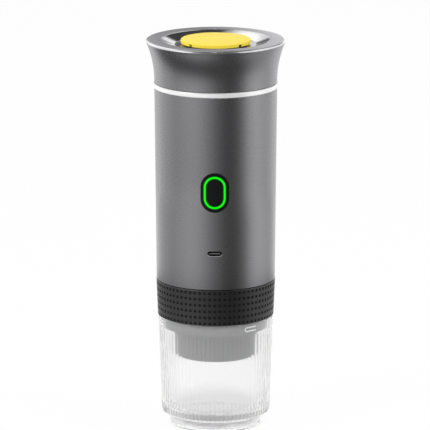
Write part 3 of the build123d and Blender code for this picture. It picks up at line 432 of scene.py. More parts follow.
# Painted light: the spigot above the collar's height is painted lighter
on_spigot = add(tree, "ShaderNodeMath", {
    0: sides.outputs["Z"], 1: CUP_COLLAR * MM,
}, operation="GREATER_THAN")
lifted = add(tree, "ShaderNodeMath", {
    0: on_spigot.outputs[0], 1: SPIGOT_PAINTED_LIGHT, 2: pattern,
}, operation="MULTIPLY_ADD")
shade_between(tree, shader, lifted.outputs[0], "#5E5E5F", "#858586")

# Glass-filled nylon of the inner mouldings: black, dull, slightly rough
black_nylon, tree, shader = surface("moulded_nylon_black", "#1D1D1F", roughness=0.55)
pattern = grain(tree, shader, size=0.35, depth=0.01)
shade_between(tree, shader, pattern, "#19191B", "#242427")

# Moulded ABS of the button and its frame: black with a silky sheen
black_abs, tree, shader = surface("moulded_abs_black", "#0A0A0A", roughness=0.42, Specular_IOR_Level=0.2)
pattern = grain(tree, shader, size=0.3, depth=0.004)
shade_between(tree, shader, pattern, "#070707", "#0D0D0D")

# Liquid-crystal polymer of the socket's tongue and drawn steel of its shell, with painted light and shade:
# painted pale at the front, where light from above meets the top half of the tongue and the bottom half of
# the shell, and painted dark elsewhere, as the shade deeper in the socket and on the unlit halves
socket_finishes = []
for name, front, metallic, painted_lit_code, dark_half in (
    ("moulded_polymer_socket_tongue", SOCKET_TONGUE_FRONT, 0.0, "#8C8C8C", "LESS_THAN"),
    ("drawn_steel_socket_shell", SOCKET_SHELL_FRONT, 0.7, "#E0E0E0", "GREATER_THAN"),
):
    finish, tree, shader = surface(name, painted_lit_code, roughness=0.4, metallic=metallic)
    grain(tree, shader, size=0.2, depth=0.001)
    place = add(tree, "ShaderNodeTexCoord")
    sides = add(tree, "ShaderNodeSeparateXYZ", {0: place.outputs["Object"]})
    inward = add(tree, "ShaderNodeMapRange", {
        "Value": sides.outputs["Y"], "From Min": front * MM, "From Max": (front + SOCKET_SHADE_DEPTH) * MM,
    })
    unlit = add(tree, "ShaderNodeMath", {0: sides.outputs["Z"], 1: SOCKET_LEVEL * MM}, operation=dark_half)
    shade = add(tree, "ShaderNodeMath", {0: inward.outputs[0], 1: unlit.outputs[0]}, operation="MAXIMUM")
    shade_between(tree, shader, shade.outputs[0], painted_lit_code, "#0C0C0C")
    socket_finishes.append(finish)
tongue_polymer, shell_steel = socket_finishes

# Acrylic light guide, lit green from behind: brightest along its middle line, dim at its two edges
green_light, tree, shader = surface(
    "lit_acrylic_green", "#033A06", roughness=0.3, Specular_IOR_Level=0.05, Emission_Strength=1.0,
)
grain(tree, shader, size=1.2, depth=0.002)
place = add(tree, "ShaderNodeTexCoord")
sides = add(tree, "ShaderNodeSeparateXYZ", {0: place.outputs["Object"]})
rise = add(tree, "ShaderNodeMath", {
    0: sides.outputs["Z"], 1: BUTTON_LEVEL * MM,
}, operation="SUBTRACT")
height = add(tree, "ShaderNodeMath", {0: rise.outputs[0]}, operation="ABSOLUTE")
past_straight = add(tree, "ShaderNodeMath", {
    0: height.outputs[0], 1: LIGHT_STRAIGHT * MM,
}, operation="SUBTRACT")
in_end = add(tree, "ShaderNodeMath", {0: past_straight.outputs[0], 1: 0.0}, operation="MAXIMUM")
spread = add(tree, "ShaderNodeCombineXYZ", {"X": sides.outputs["X"], "Y": in_end.outputs[0]})
reach = add(tree, "ShaderNodeVectorMath", {0: spread.outputs[0]}, operation="LENGTH")
aside = add(tree, "ShaderNodeMath", {
    0: reach.outputs["Value"], 1: LIGHT_MIDDLE * MM,
}, operation="SUBTRACT")
off_line = add(tree, "ShaderNodeMath", {0: aside.outputs[0]}, operation="ABSOLUTE")
glow_share = add(tree, "ShaderNodeMapRange", {
    "Value": off_line.outputs[0], "From Min": LIGHT_BRIGHT_HALF * MM, "From Max": LIGHT_DARK_HALF * MM,
    "To Min": 1.0, "To Max": 0.0,
})
shade_between(tree, shader, glow_share.outputs[0], "#021403", "#0EFF12", "Emission Color")

# Moulded silicone of the cap: warm yellow, chalky, with slight mottling
yellow_silicone, tree, shader = surface(
    "moulded_silicone_yellow", "#F6DB3C", roughness=0.55, Specular_IOR_Level=0.35,
    Sheen_Weight=0.15, Sheen_Roughness=0.4,
)
pattern = grain(tree, shader, size=1.1, depth=0.02)
shade_between(tree, shader, pattern, "#F0D22E", "#FAE34A")

# Black silicone of the stopper
black_silicone, tree, shader = surface("moulded_silicone_black", "#161616", roughness=0.6)
pattern = grain(tree, shader, size=0.5, depth=0.01)
shade_between(tree, shader, pattern, "#121212", "#1C1C1C")

# Grey silicone of the cup's seal, moulded in the colour of the brew chamber
grey_silicone, tree, shader = surface("moulded_silicone_grey", "#757577", roughness=0.55)
pattern = grain(tree, shader, size=0.5, depth=0.008)
shade_between(tree, shader, pattern, "#6F6F71", "#7B7B7D")

# Food-grade silicone of the seals: milky grey
seal_silicone, tree, shader = surface(
    "moulded_silicone_milky", "#C9C9C5", roughness=0.5, Subsurface_Weight=0.2, Subsurface_Scale=1 * MM,
)
pattern = grain(tree, shader, size=0.6, depth=0.008)
shade_between(tree, shader, pattern, "#BFBFBB", "#D2D2CE")

# Deep-drawn stainless steel: warm grey metal with fine drawing rings
drawn_steel, tree, shader = surface("drawn_stainless_steel", "#BDBCB8", roughness=0.28, metallic=1.0)
pattern = turned_rings(tree, shader, pitch=0.3, depth=0.003)
shade_between(tree, shader, pattern, low=0.22, high=0.36, socket="Roughness")

# Die-cast aluminium of the heating plate
cast_aluminium, tree, shader = surface("cast_aluminium", "#B4B4B6", roughness=0.5, metallic=1.0)
pattern = grain(tree, shader, size=0.7, depth=0.03)
shade_between(tree, shader, pattern, low=0.42, high=0.6, socket="Roughness")

# Shrink sleeve of the cells: glossy green film
cell_sleeve, tree, shader = surface("shrink_sleeve_green", "#2C6B57", roughness=0.3)
pattern = grain(tree, shader, size=4.0, depth=0.02)
shade_between(tree, shader, pattern, "#28634F", "#32755F")

# Solder resist on the boards: green lacquer over copper tracks
board_resist, tree, shader = surface("solder_resist_green", "#1F4A31", roughness=0.35)
track_spacing = 8.0
track_width_share = 0.03
place = add(tree, "ShaderNodeTexCoord")
tracks = add(tree, "ShaderNodeTexBrick", {
    "Vector": place.outputs["Object"], "Scale": 1 / (track_spacing * MM), "Mortar Size": track_width_share,
    "Color1": linear("#1A4029"), "Color2": linear("#22523A"), "Mortar": linear("#3F7A50"),
})
tree.links.new(tracks.outputs["Color"], shader.inputs["Base Color"])

materials_of_nodes = {
    grey_plastic: ["brew_chamber"],
    black_nylon: [
        "outlet_nozzle", "group_head", "neck_ring", "thermal_fuse", "chassis_base", "tank_cradle",
        "pump_head", "button_switch", "switch_plunger", "lid_liner",
    ],
    black_abs: ["button_cap", "button_bezel"],
    green_light: ["light_ring"],
    tongue_polymer: ["usb_tongue"],
    shell_steel: ["usb_shell"],
    black_silicone: ["vent_valve"],
    grey_silicone: ["cup_seal"],
    seal_silicone: ["group_gasket", "tank_gasket", "suction_hose", "lid_seal"],
    drawn_steel: [
        "filter_basket", "shower_plate", "shower_screw", "water_tank", "tank_outlet", "frame_screws",
        "pump_motor", "drive_cam",
    ],
    cast_aluminium: ["heater_plate"],
    cell_sleeve: ["battery_cells"],
    board_resist: ["control_board", "usb_board"],
}
for material, names in materials_of_nodes.items():
    for name in names:
        nodes[name].data.materials.clear()
        nodes[name].data.materials.append(material)


# Helpers for meshes

def even_angles(count):
    """Give angles in degrees, evenly spaced round a turn."""
    return [360 * index / count for index in range(count)]


def rounded(corners, steps=6):
    """Give an outline with rounded corners, from corners of radius, height and fillet."""
    outline = []
    for index, (radius, height, fillet) in enumerate(corners):
        corner = Vector((radius, height))
        if not fillet:
            outline.append(corner)
            continue
        back = (Vector(corners[index - 1][:2]) - corner).normalized()
        ahead = (Vector(corners[(index + 1) % len(corners)][:2]) - corner).normalized()
        half = back.angle(ahead) / 2
        centre = corner + (back + ahead).normalized() * fillet / sin(half)
        first = corner + back * fillet / tan(half) - centre
        last = corner + ahead * fillet / tan(half) - centre
        for step in range(steps + 1):
            outline.append(centre + first.lerp(last, step / steps).normalized() * fillet)
    return outline


def flare(start, end, steps=14):
    """Give the arc that leaves its start upright and ends at the second point."""
    across, up = end[0] - start[0], end[1] - start[1]
    bend = (across ** 2 + up ** 2) / (2 * across)
    turn = asin(up / bend)
    return [
        (start[0] + bend * (1 - cos(turn * step / steps)), start[1] + bend * sin(turn * step / steps), 0)
        for step in range(steps + 1)
    ]


def lathe(name, outline, angles):
    """Turn a closed outline, which runs up its outer side, about the Z axis into a mesh object."""
    spots, rings, faces = [], [], []
    count = len(angles)
    for radius, height in outline:
        if not radius:
            rings.append([len(spots)] * count)
            spots.append((0, 0, height * MM))
            continue
        rings.append(range(len(spots), len(spots) + count))
        spots += [
            (radius * cos(radians(angle)) * MM, radius * sin(radians(angle)) * MM, height * MM)
            for angle in angles
        ]
    for index, lower in enumerate(rings):
        upper = rings[(index + 1) % len(rings)]
        if lower[0] == lower[1] and upper[0] == upper[1]:
            continue
        for column in range(count):
            beside = (column + 1) % count
            corners = (lower[column], lower[beside], upper[beside], upper[column])
            faces.append(tuple(dict.fromkeys(corners)))
    mesh = bpy.data.meshes.new(name)
    mesh.from_pydata(spots, [], faces)
    piece = bpy.data.objects.new(name, mesh)
    scene.collection.objects.link(piece)
    soften(piece)
    return piece


def around(place):
    """Give the angle of a place round the Z axis, in degrees from the X axis."""
    return place.xy.angle_signed(Vector((1, 0)), 0) * 180 / pi


def soften(piece, angle=32):
    """Shade a piece smooth, with sharp edges where its faces meet at more than this angle."""
    piece.data.polygons.foreach_set("use_smooth", [True] * len(piece.data.polygons))
    piece.data.set_sharp_from_angle(angle=radians(angle))


def settle(piece):
    """Turn what the modifiers make of a piece into its plain mesh."""
    made = bpy.data.meshes.new_from_object(piece.evaluated_get(bpy.context.evaluated_depsgraph_get()))
    piece.modifiers.clear()
    piece.data = made


def dress(piece, material, body, slot, *stands_for):
    """Give a piece its material and its body, and hide the nodes that it stands for. The slot is not used."""
    if not piece.data.materials:
        piece.data.materials.append(material)
    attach(piece, body)
    if stands_for:
        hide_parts(*stands_for)


def geometry_tree(name, sizes):
    """Start a Geometry Nodes tree with these named sizes. Give back the tree, its start and its sockets."""
    tree = bpy.data.node_groups.new(name, "GeometryNodeTree")
    tree.interface.new_socket("Geometry", in_out="INPUT", socket_type="NodeSocketGeometry")
    tree.interface.new_socket("Geometry", in_out="OUTPUT", socket_type="NodeSocketGeometry")
    sockets = {
        size: tree.interface.new_socket(size, in_out="INPUT", socket_type=kind).identifier
        for size, kind in sizes.items()
    }
    return tree, add(tree, "NodeGroupInput"), sockets


def grow(piece, tree, sockets, values):
    """Run a Geometry Nodes tree on a piece with these sizes, and keep the result as its mesh."""
    modifier = piece.modifiers.new(tree.name, "NODES")
    modifier.node_group = tree
    for size, value in values.items():
        modifier[sockets[size]] = value
    settle(piece)


smooth_turn = even_angles(LATHE_COLUMNS)

# Lid shell: a flared skirt that turns over into a flat satin rim. The last points of the outer flare make
# way for the rolled edge
outer_flare = flare((LID_FOOT_RADIUS, FLARE_BOTTOM), (LID_CORNER_RADIUS, LID_TOP))
inner_flare = flare(
    (LID_FOOT_RADIUS - LID_WALL, FLARE_BOTTOM),
    (LID_CORNER_RADIUS - 2 * LID_WALL, LID_TOP - LID_WALL),
)
lid_corners = [
    (LID_FOOT_RADIUS, LID_BOTTOM, LID_FOOT_FILLET),
    *outer_flare[:-2],
    (LID_CORNER_RADIUS, LID_TOP, LID_EDGE_FILLET),
    (DISH_RIM_RADIUS, LID_TOP, LID_BORE_FILLET),
    (DISH_RIM_RADIUS, LID_TOP - LID_WALL, 0),
    *reversed(inner_flare),
    (LID_FOOT_RADIUS - LID_WALL, LID_BOTTOM, 0),
]
lid_skirt = lathe("lid_skirt", rounded(lid_corners, LID_FILLET_STEPS), smooth_turn)
for material in (gunmetal, turned_face, polished_edge):
    lid_skirt.data.materials.append(material)
for face in lid_skirt.data.polygons:
    if face.normal.z > FLAT_RIM_SLOPE:
        face.material_index = 1
    elif face.center.z > (LID_TOP - LID_EDGE_FILLET) * MM and face.normal.z > 0:
        face.material_index = 2
dress(lid_skirt, gunmetal, "lid", "gunmetal", "lid_shell")

# Polished dish inside the rim
dish_radius = DISH_RIM_RADIUS - DISH_CLEARANCE
dish_lip_top = LID_TOP - LID_WALL
dish_outline = rounded([
    (VENT_HOLE_RADIUS, DISH_FLOOR - DISH_SHEET, 0),
    (DISH_FLOOR_RADIUS, DISH_FLOOR - DISH_SHEET, DISH_UNDER_FILLET),
    (dish_radius, dish_lip_top - DISH_SHEET, 0),
    (dish_radius + DISH_LIP, dish_lip_top - DISH_SHEET, 0),
    (dish_radius + DISH_LIP, dish_lip_top, 0),
    (dish_radius, dish_lip_top, 0),
    (dish_radius, LID_TOP - DISH_CLEARANCE, DISH_EDGE_FILLET),
    (DISH_FLOOR_RADIUS, DISH_FLOOR, DISH_FLOOR_FILLET),
    (VENT_HOLE_RADIUS, DISH_FLOOR, 0),
])
dish = lathe("polished_dish", dish_outline, smooth_turn)
dress(dish, polished, "lid", "bright_metal", "lid_dish")

# Bright trim ring
trim_radius = HOUSING_TOP_RADIUS + TRIM_PROUD
trim_outline = rounded([
    (TRIM_SPIGOT_RADIUS, HOUSING_TOP - TRIM_SPIGOT_DEPTH, 0),
    (TRIM_SPIGOT_RADIUS, HOUSING_TOP, 0),
    (trim_radius, HOUSING_TOP, TRIM_FILLET),
    (trim_radius, TRIM_TOP, TRIM_FILLET),
    (TRIM_BORE, TRIM_TOP, TRIM_BORE_FILLET),
    (TRIM_BORE, HOUSING_TOP - TRIM_SPIGOT_DEPTH, 0),
])
trim = lathe("bright_trim_ring", trim_outline, smooth_turn)
dress(trim, bright_trim, "main_body", "bright_metal", "trim_ring")

# Yellow cap: rounded disc with notches in its lower edge, painted black inside with the stopper's black
# silicone as painted shade
notch_pitch = 360 / CAP_NOTCH_COUNT
notch_floor = (CAP_RADIUS - CAP_NOTCH_DEPTH) * MM
notch_turns = {
    notch_pitch * (index + 0.5) + side * edge * CAP_NOTCH_HALF_ANGLE
    for index in range(CAP_NOTCH_COUNT)
    for edge in (1 - CAP_NOTCH_WALL_SHARE, 1 + CAP_NOTCH_WALL_SHARE)
    for side in (-1, 1)
}
cap_angles = sorted(notch_turns.union(even_angles(CAP_COLUMNS)))
cap_outline = rounded([
    (0, CAP_BOTTOM, 0),
    (CAP_RADIUS - CAP_NOTCH_DEPTH, CAP_BOTTOM, 0),
    (CAP_RADIUS, CAP_BOTTOM, CAP_LOWER_FILLET),
    (CAP_RADIUS, CAP_BOTTOM + CAP_NOTCH_HEIGHT, 0),
    (CAP_RADIUS, CAP_TOP, CAP_UPPER_FILLET),
    (0, CAP_TOP, 0),
])
cap = lathe("yellow_cap", cap_outline, cap_angles)
for material in (yellow_silicone, black_silicone):
    cap.data.materials.append(material)


def in_notch(place):
    """Tell whether a place on the cap lies in one of its notches."""
    off_notch = around(place) % notch_pitch - notch_pitch / 2
    pushed_top = (CAP_BOTTOM + CAP_NOTCH_HEIGHT * CAP_NOTCH_PUSHED_SHARE) * MM
    return abs(off_notch) < CAP_NOTCH_HALF_ANGLE and place.z < pushed_top


for spot in cap.data.vertices:
    reach = sqrt(spot.co.x ** 2 + spot.co.y ** 2)
    if in_notch(spot.co) and reach > notch_floor:
        spot.co.x *= notch_floor / reach
        spot.co.y *= notch_floor / reach
# The notches' faces get the black silicone as painted shade
for face in cap.data.polygons:
    if in_notch(face.center) and face.center.xy.length > notch_floor * CAP_NOTCH_SHADE_SHARE:
        face.material_index = 1
soften(cap)
dress(cap, yellow_silicone, "vent_stopper", "yellow_silicone", "vent_cap")


# Housing: a fine tube with chamfered cut-outs for the button and the charging socket

def housing_radius(height):
    """Give the housing's outer radius at this height."""
    share = (height - HOUSING_BOTTOM) / (HOUSING_TOP - HOUSING_BOTTOM)
    return HOUSING_BOTTOM_RADIUS + share * (HOUSING_TOP_RADIUS - HOUSING_BOTTOM_RADIUS)


def stadium(width, height, steps=24):
    """Give points round a slot with round ends, as pairs across and up."""
    radius = min(width, height) / 2
    across, up = width / 2 - radius, height / 2 - radius
    turns = [2 * pi * (index + 0.5) / (4 * steps) for index in range(4 * steps)]
    return [
        (radius * cos(turn) + copysign(across, cos(turn)), radius * sin(turn) + copysign(up, sin(turn)))
        for turn in turns
    ]


def cut_out(piece, size, level, chamfer=CUT_CHAMFER):
    """Cut a slot with a chamfered edge through the front of the housing."""
    layers = [(0, -CUT_REACH), (0, -2 * chamfer), (chamfer, 0), (chamfer, CUT_REACH)]
    spots, faces = [], []
    for grown, rise in layers:
        for across, up in stadium(size[0] + 2 * grown, size[1] + 2 * grown):
            depth = sqrt(housing_radius(level + up) ** 2 - across ** 2) + rise
            spots.append((across * MM, -depth * MM, (level + up) * MM))
    count = len(spots) // len(layers)
    for layer in range(len(layers) - 1):
        for index in range(count):
            beside = (index + 1) % count
            lower, upper = layer * count, (layer + 1) * count
            faces.append((lower + index, lower + beside, upper + beside, upper + index))
    faces.append(tuple(range(count)))
    faces.append(tuple(range((len(layers) - 1) * count, len(layers) * count)))
    mesh = bpy.data.meshes.new("cutter")
    mesh.from_pydata(spots, [], faces)
    made = bmesh.new()
    made.from_mesh(mesh)
    bmesh.ops.recalc_face_normals(made, faces=made.faces)
    made.to_mesh(mesh)
    made.free()
    cutter = bpy.data.objects.new("cutter", mesh)
    scene.collection.objects.link(cutter)
    modifier = piece.modifiers.new("cut", "BOOLEAN")
    modifier.object = cutter
    modifier.operation = "DIFFERENCE"
    modifier.solver = "EXACT"
    settle(piece)
    bpy.data.objects.remove(cutter)


wall_levels = [
    HOUSING_BOTTOM + (HOUSING_TOP - HOUSING_BOTTOM) * row / HOUSING_ROWS for row in range(HOUSING_ROWS + 1)
]
outer_levels = [HOUSING_BOTTOM + HOUSING_FOOT_CHAMFER, *wall_levels[1:-1], HOUSING_TOP - HOUSING_TOP_CHAMFER]
housing_outline = (
    [(HOUSING_BOTTOM_RADIUS - HOUSING_FOOT_CHAMFER, HOUSING_BOTTOM)]
    + [(housing_radius(level), level) for level in outer_levels]
    + [(HOUSING_TOP_RADIUS - HOUSING_TOP_CHAMFER, HOUSING_TOP)]
    + [(housing_radius(level) - HOUSING_WALL, level) for level in reversed(wall_levels)]
)
tube = lathe("housing_tube", housing_outline, even_angles(HOUSING_COLUMNS))
cut_out(tube, BUTTON_CUT, BUTTON_LEVEL)
cut_out(tube, SOCKET_CUT, SOCKET_LEVEL)
soften(tube)
dress(tube, gunmetal, "main_body", "gunmetal", "main_housing")

# Grip ring: the faces marked as dimples are pushed in by a node tree
band_tree, start, band_sockets = geometry_tree("band_dimples", {
    "Depth": "NodeSocketFloat", "Floor share": "NodeSocketFloat", "Material": "NodeSocketMaterial",
    "Dimple material": "NodeSocketMaterial",
})
marked = add(band_tree, "GeometryNodeInputNamedAttribute", {"Name": "dimple"}, data_type="BOOLEAN")
inward = add(band_tree, "ShaderNodeMath", {0: start.outputs["Depth"], 1: -1.0}, operation="MULTIPLY")
pushed = add(band_tree, "GeometryNodeExtrudeMesh", {
    "Mesh": start.outputs["Geometry"], "Selection": marked.outputs["Attribute"],
    "Offset Scale": inward.outputs[0], "Individual": True,
}, mode="FACES")
floors = add(band_tree, "GeometryNodeScaleElements", {
    "Geometry": pushed.outputs["Mesh"], "Selection": pushed.outputs["Top"],
    "Scale": start.outputs["Floor share"],
}, domain="FACE")
coated = add(band_tree, "GeometryNodeSetMaterial", {
    "Geometry": floors.outputs[0], "Material": start.outputs["Material"],
})
in_dimple = add(band_tree, "FunctionNodeBooleanMath", {
    0: pushed.outputs["Top"], 1: pushed.outputs["Side"],
}, operation="OR")
shaded = add(band_tree, "GeometryNodeSetMaterial", {
    "Geometry": coated.outputs[0], "Selection": in_dimple.outputs[0],
    "Material": start.outputs["Dimple material"],
})
add(band_tree, "NodeGroupOutput", {0: shaded.outputs[0]})

column_turn = 360 / DIMPLE_COLUMNS
dimple_turn = column_turn * DIMPLE_WIDTH / (2 * pi * BAND_TOP_RADIUS / DIMPLE_COLUMNS)
band_angles = [
    FRONT - dimple_turn / 2 + column * column_turn + part
    for column in range(DIMPLE_COLUMNS)
    for part in (0, dimple_turn, (column_turn + dimple_turn) / 2)
]
dimple_levels = [DIMPLE_FIRST_LEVEL + row * DIMPLE_PITCH for row in range(DIMPLE_ROWS)]
band_lean = (BAND_TOP_RADIUS - BAND_BOTTOM_RADIUS) / (BAND_TOP - BAND_BOTTOM)
band_edges = [level + side * DIMPLE_WIDTH / 2 for level in dimple_levels for side in (-1, 1)]
band_outline = rounded(
    [(BAND_BORE, BAND_BOTTOM, 0), (BAND_BOTTOM_RADIUS, BAND_BOTTOM, BAND_BOTTOM_FILLET)]
    + [(BAND_BOTTOM_RADIUS + band_lean * (level - BAND_BOTTOM), level, 0) for level in band_edges]
    + [(BAND_TOP_RADIUS, BAND_TOP, BAND_TOP_FILLET), (BAND_BORE, BAND_TOP, 0)]
)
band = lathe("dimpled_grip", band_outline, band_angles)
is_dimple = []
for face in band.data.polygons:
    off_column = (around(face.center) - FRONT + column_turn / 2) % column_turn - column_turn / 2
    on_column = abs(off_column) < dimple_turn / 4
    on_row = any(abs(face.center.z / MM - level) < DIMPLE_WIDTH / 4 for level in dimple_levels)
    is_dimple.append(on_column and on_row)
band.data.attributes.new("dimple", "BOOLEAN", "FACE").data.foreach_set("value", is_dimple)
grow(band, band_tree, band_sockets, {
    "Depth": DIMPLE_DEPTH * MM, "Floor share": DIMPLE_FLOOR_SHARE, "Material": grip_rubber,
    "Dimple material": dull_rubber,
})
soften(band)
dress(band, grip_rubber, "brew_head", "grip_rubber", "grip_ring")

# Cup: a clear wall whose outer face between base edge and collar is pressed into flutes by a node tree
flute_tree, start, flute_sockets = geometry_tree("cup_flutes", {
    "Flutes": "NodeSocketFloat", "Depth": "NodeSocketFloat", "Material": "NodeSocketMaterial",
})
spot = add(flute_tree, "GeometryNodeInputPosition")
sides = add(flute_tree, "ShaderNodeSeparateXYZ", {0: spot.outputs[0]})
turn = add(flute_tree, "ShaderNodeMath", {0: sides.outputs["Y"], 1: sides.outputs["X"]}, operation="ARCTAN2")
phase = add(flute_tree, "ShaderNodeMath", {
    0: turn.outputs[0], 1: start.outputs["Flutes"],
}, operation="MULTIPLY")
half_phase = add(flute_tree, "ShaderNodeMath", {0: phase.outputs[0], 1: 0.5}, operation="MULTIPLY")
wave = add(flute_tree, "ShaderNodeMath", {0: half_phase.outputs[0]}, operation="SINE")
crest = add(flute_tree, "ShaderNodeMath", {0: wave.outputs[0]}, operation="ABSOLUTE")
dip = add(flute_tree, "ShaderNodeMath", {0: crest.outputs[0], 1: 1.0}, operation="SUBTRACT")
depth = add(flute_tree, "ShaderNodeMath", {
    0: dip.outputs[0], 1: start.outputs["Depth"],
}, operation="MULTIPLY")
on_wall = add(flute_tree, "GeometryNodeInputNamedAttribute", {"Name": "fluted"}, data_type="FLOAT")
share = add(flute_tree, "ShaderNodeMath", {
    0: depth.outputs[0], 1: on_wall.outputs["Attribute"],
}, operation="MULTIPLY")
level_part = add(flute_tree, "ShaderNodeVectorMath", {0: spot.outputs[0], 1: (1, 1, 0)}, operation="MULTIPLY")
outward = add(flute_tree, "ShaderNodeVectorMath", {0: level_part.outputs[0]}, operation="NORMALIZE")
shift = add(flute_tree, "ShaderNodeVectorMath", {
    0: outward.outputs[0], "Scale": share.outputs[0],
}, operation="SCALE")
moved = add(flute_tree, "GeometryNodeSetPosition", {
    "Geometry": start.outputs["Geometry"], "Offset": shift.outputs[0],
})
coated = add(flute_tree, "GeometryNodeSetMaterial", {
    "Geometry": moved.outputs[0], "Material": start.outputs["Material"],
})
add(flute_tree, "NodeGroupOutput", {0: coated.outputs[0]})

cup_lean = (CUP_RIM_RADIUS - CUP_BASE_RADIUS) / (CUP_RIM - CUP_BASE_EDGE)
flute_top = CUP_COLLAR - FLUTE_TOP_GAP
flute_bottom = CUP_BASE_EDGE + FLUTE_BOTTOM_GAP


def cup_wall_radius(height):
    """Give the cup's outer radius over its flutes at this height."""
    return CUP_BASE_RADIUS + cup_lean * (height - CUP_BASE_EDGE)


flute_levels = [
    flute_bottom + (flute_top - flute_bottom) * row / FLUTE_ROWS for row in range(FLUTE_ROWS + 1)
]
cup_corners = (
    [
        (0, CUP_FOOT_RECESS, 0),
        (CUP_FOOT_RECESS_RADIUS, CUP_FOOT_RECESS, CUP_RECESS_FILLET),
        (CUP_FOOT_RECESS_RADIUS, 0, CUP_FOOT_INNER_FILLET),
        (CUP_FOOT_RADIUS, 0, CUP_FOOT_OUTER_FILLET),
        (CUP_FOOT_RADIUS, CUP_FOOT_HEIGHT, CUP_FOOT_TOP_FILLET),
        (CUP_BASE_RADIUS - FLUTE_DEPTH - CUP_COLLAR_PROUD, CUP_BASE_EDGE, 0),
    ]
    + [(cup_wall_radius(level) - CUP_COLLAR_PROUD, level, 0) for level in flute_levels]
    + [
        (cup_wall_radius(CUP_COLLAR), CUP_COLLAR, CUP_COLLAR_FILLET),
        (CUP_RIM_RADIUS, CUP_RIM, CUP_RIM_FILLET),
        (CUP_BORE, CUP_RIM, CUP_RIM_FILLET),
        (CUP_BORE, CUP_COLLAR, 0),
        (CUP_CAVITY_RADIUS, CUP_FLOOR, CUP_CAVITY_FILLET),
        (0, CUP_FLOOR, 0),
    ]
)
cup = lathe("fluted_cup", rounded(cup_corners), even_angles(FLUTE_COUNT * FLUTE_COLUMNS))
fluted = []
for vertex in cup.data.vertices:
    level = vertex.co.z / MM
    on_outside = vertex.co.xy.length / MM > cup_wall_radius(level) - 2 * CUP_COLLAR_PROUD
    in_flutes = flute_bottom - FLUTE_LEVEL_SLACK < level < flute_top + FLUTE_LEVEL_SLACK
    fluted.append(1.0 if on_outside and in_flutes else 0.0)
cup.data.attributes.new("fluted", "FLOAT", "POINT").data.foreach_set("value", fluted)
grow(cup, flute_tree, flute_sockets, {
    "Flutes": FLUTE_COUNT, "Depth": FLUTE_DEPTH * MM, "Material": clear_plastic,
})
soften(cup)
dress(cup, clear_plastic, "cup", "clear_cup", "cup")

# Lock lugs: each a bead that runs along the bore, round its end and back
lug_tree, start, lug_sockets = geometry_tree("lock_lugs", {
    "Bead radius": "NodeSocketFloat", "Material": "NodeSocketMaterial",
})
paths = add(lug_tree, "GeometryNodeMeshToCurve", {0: start.outputs["Geometry"]})
round_section = add(lug_tree, "GeometryNodeCurvePrimitiveCircle", {
    "Resolution": LUG_SECTION_POINTS, "Radius": start.outputs["Bead radius"],
}, mode="RADIUS")
beads = add(lug_tree, "GeometryNodeCurveToMesh", {
    "Curve": paths.outputs[0], "Profile Curve": round_section.outputs[0], "Fill Caps": True,
})
coated = add(lug_tree, "GeometryNodeSetMaterial", {
    "Geometry": beads.outputs[0], "Material": start.outputs["Material"],
})
add(lug_tree, "NodeGroupOutput", {0: coated.outputs[0]})

lug_half_height = (LUG_TOP - LUG_BOTTOM) / 2 - LUG_BEAD
lug_middle = (LUG_TOP + LUG_BOTTOM) / 2
end_arc = degrees(lug_half_height / CUP_BORE)
lug_path = [(LUG_ARC - degrees(LUG_BEAD / CUP_BORE), lug_half_height)]
for step in range(LUG_END_STEPS + 1):
    turn = pi / 2 + pi * step / LUG_END_STEPS
    lug_path.append((end_arc * (1 + cos(turn)), lug_half_height * sin(turn)))
lug_path.append((lug_path[0][0], -lug_half_height))
lug_spots, lug_lines = [], []
for index in range(LUG_COUNT):
    first = len(lug_spots)
    for along, up in lug_path:
        turn = radians(LUG_START + index * 360 / LUG_COUNT + along)
        lug_spots.append((CUP_BORE * cos(turn) * MM, CUP_BORE * sin(turn) * MM, (lug_middle + up) * MM))
    lug_lines += [(spot, spot + 1) for spot in range(first, len(lug_spots) - 1)]
lug_mesh = bpy.data.meshes.new("lock_lugs")
lug_mesh.from_pydata(lug_spots, lug_lines, [])
lugs = bpy.data.objects.new("lock_lugs", lug_mesh)
scene.collection.objects.link(lugs)
grow(lugs, lug_tree, lug_sockets, {"Bead radius": LUG_BEAD * MM, "Material": lug_highlight_plastic})
soften(lugs, LUG_SHARP_ANGLE)
dress(lugs, lug_highlight_plastic, "cup", "clear_cup")

# Screw threads, swept along helices by a node tree
thread_tree, start, thread_sockets = geometry_tree("screw_thread", {
    "Radius": "NodeSocketFloat", "Lead": "NodeSocketFloat", "Turns": "NodeSocketFloat",
    "Foot": "NodeSocketFloat", "Depth": "NodeSocketFloat", "Width": "NodeSocketFloat",
    "Side": "NodeSocketFloat", "Starts": "NodeSocketInt", "Material": "NodeSocketMaterial",
})
climb = add(thread_tree, "ShaderNodeMath", {
    0: start.outputs["Lead"], 1: start.outputs["Turns"],
}, operation="MULTIPLY")
helix = add(thread_tree, "GeometryNodeCurveSpiral", {
    "Resolution": THREAD_STEPS, "Rotations": start.outputs["Turns"], "Start Radius": start.outputs["Radius"],
    "End Radius": start.outputs["Radius"], "Height": climb.outputs[0], "Reverse": True,
})
upright = add(thread_tree, "GeometryNodeSetCurveNormal", {"Curve": helix.outputs[0]}, mode="Z_UP")
tip_width = add(thread_tree, "ShaderNodeMath", {
    0: start.outputs["Width"], 1: THREAD_TIP_SHARE,
}, operation="MULTIPLY")
section = add(thread_tree, "GeometryNodeCurvePrimitiveQuadrilateral", {
    "Bottom Width": start.outputs["Width"], "Top Width": tip_width.outputs[0],
    "Height": start.outputs["Depth"], "Offset": 0.0,
}, mode="TRAPEZOID")
quarter = add(thread_tree, "ShaderNodeMath", {0: start.outputs["Side"], 1: -pi / 2}, operation="MULTIPLY")
tilt = add(thread_tree, "ShaderNodeCombineXYZ", {"Z": quarter.outputs[0]})
on_wall = add(thread_tree, "GeometryNodeTransform", {
    "Geometry": section.outputs[0], "Rotation": tilt.outputs[0],
})
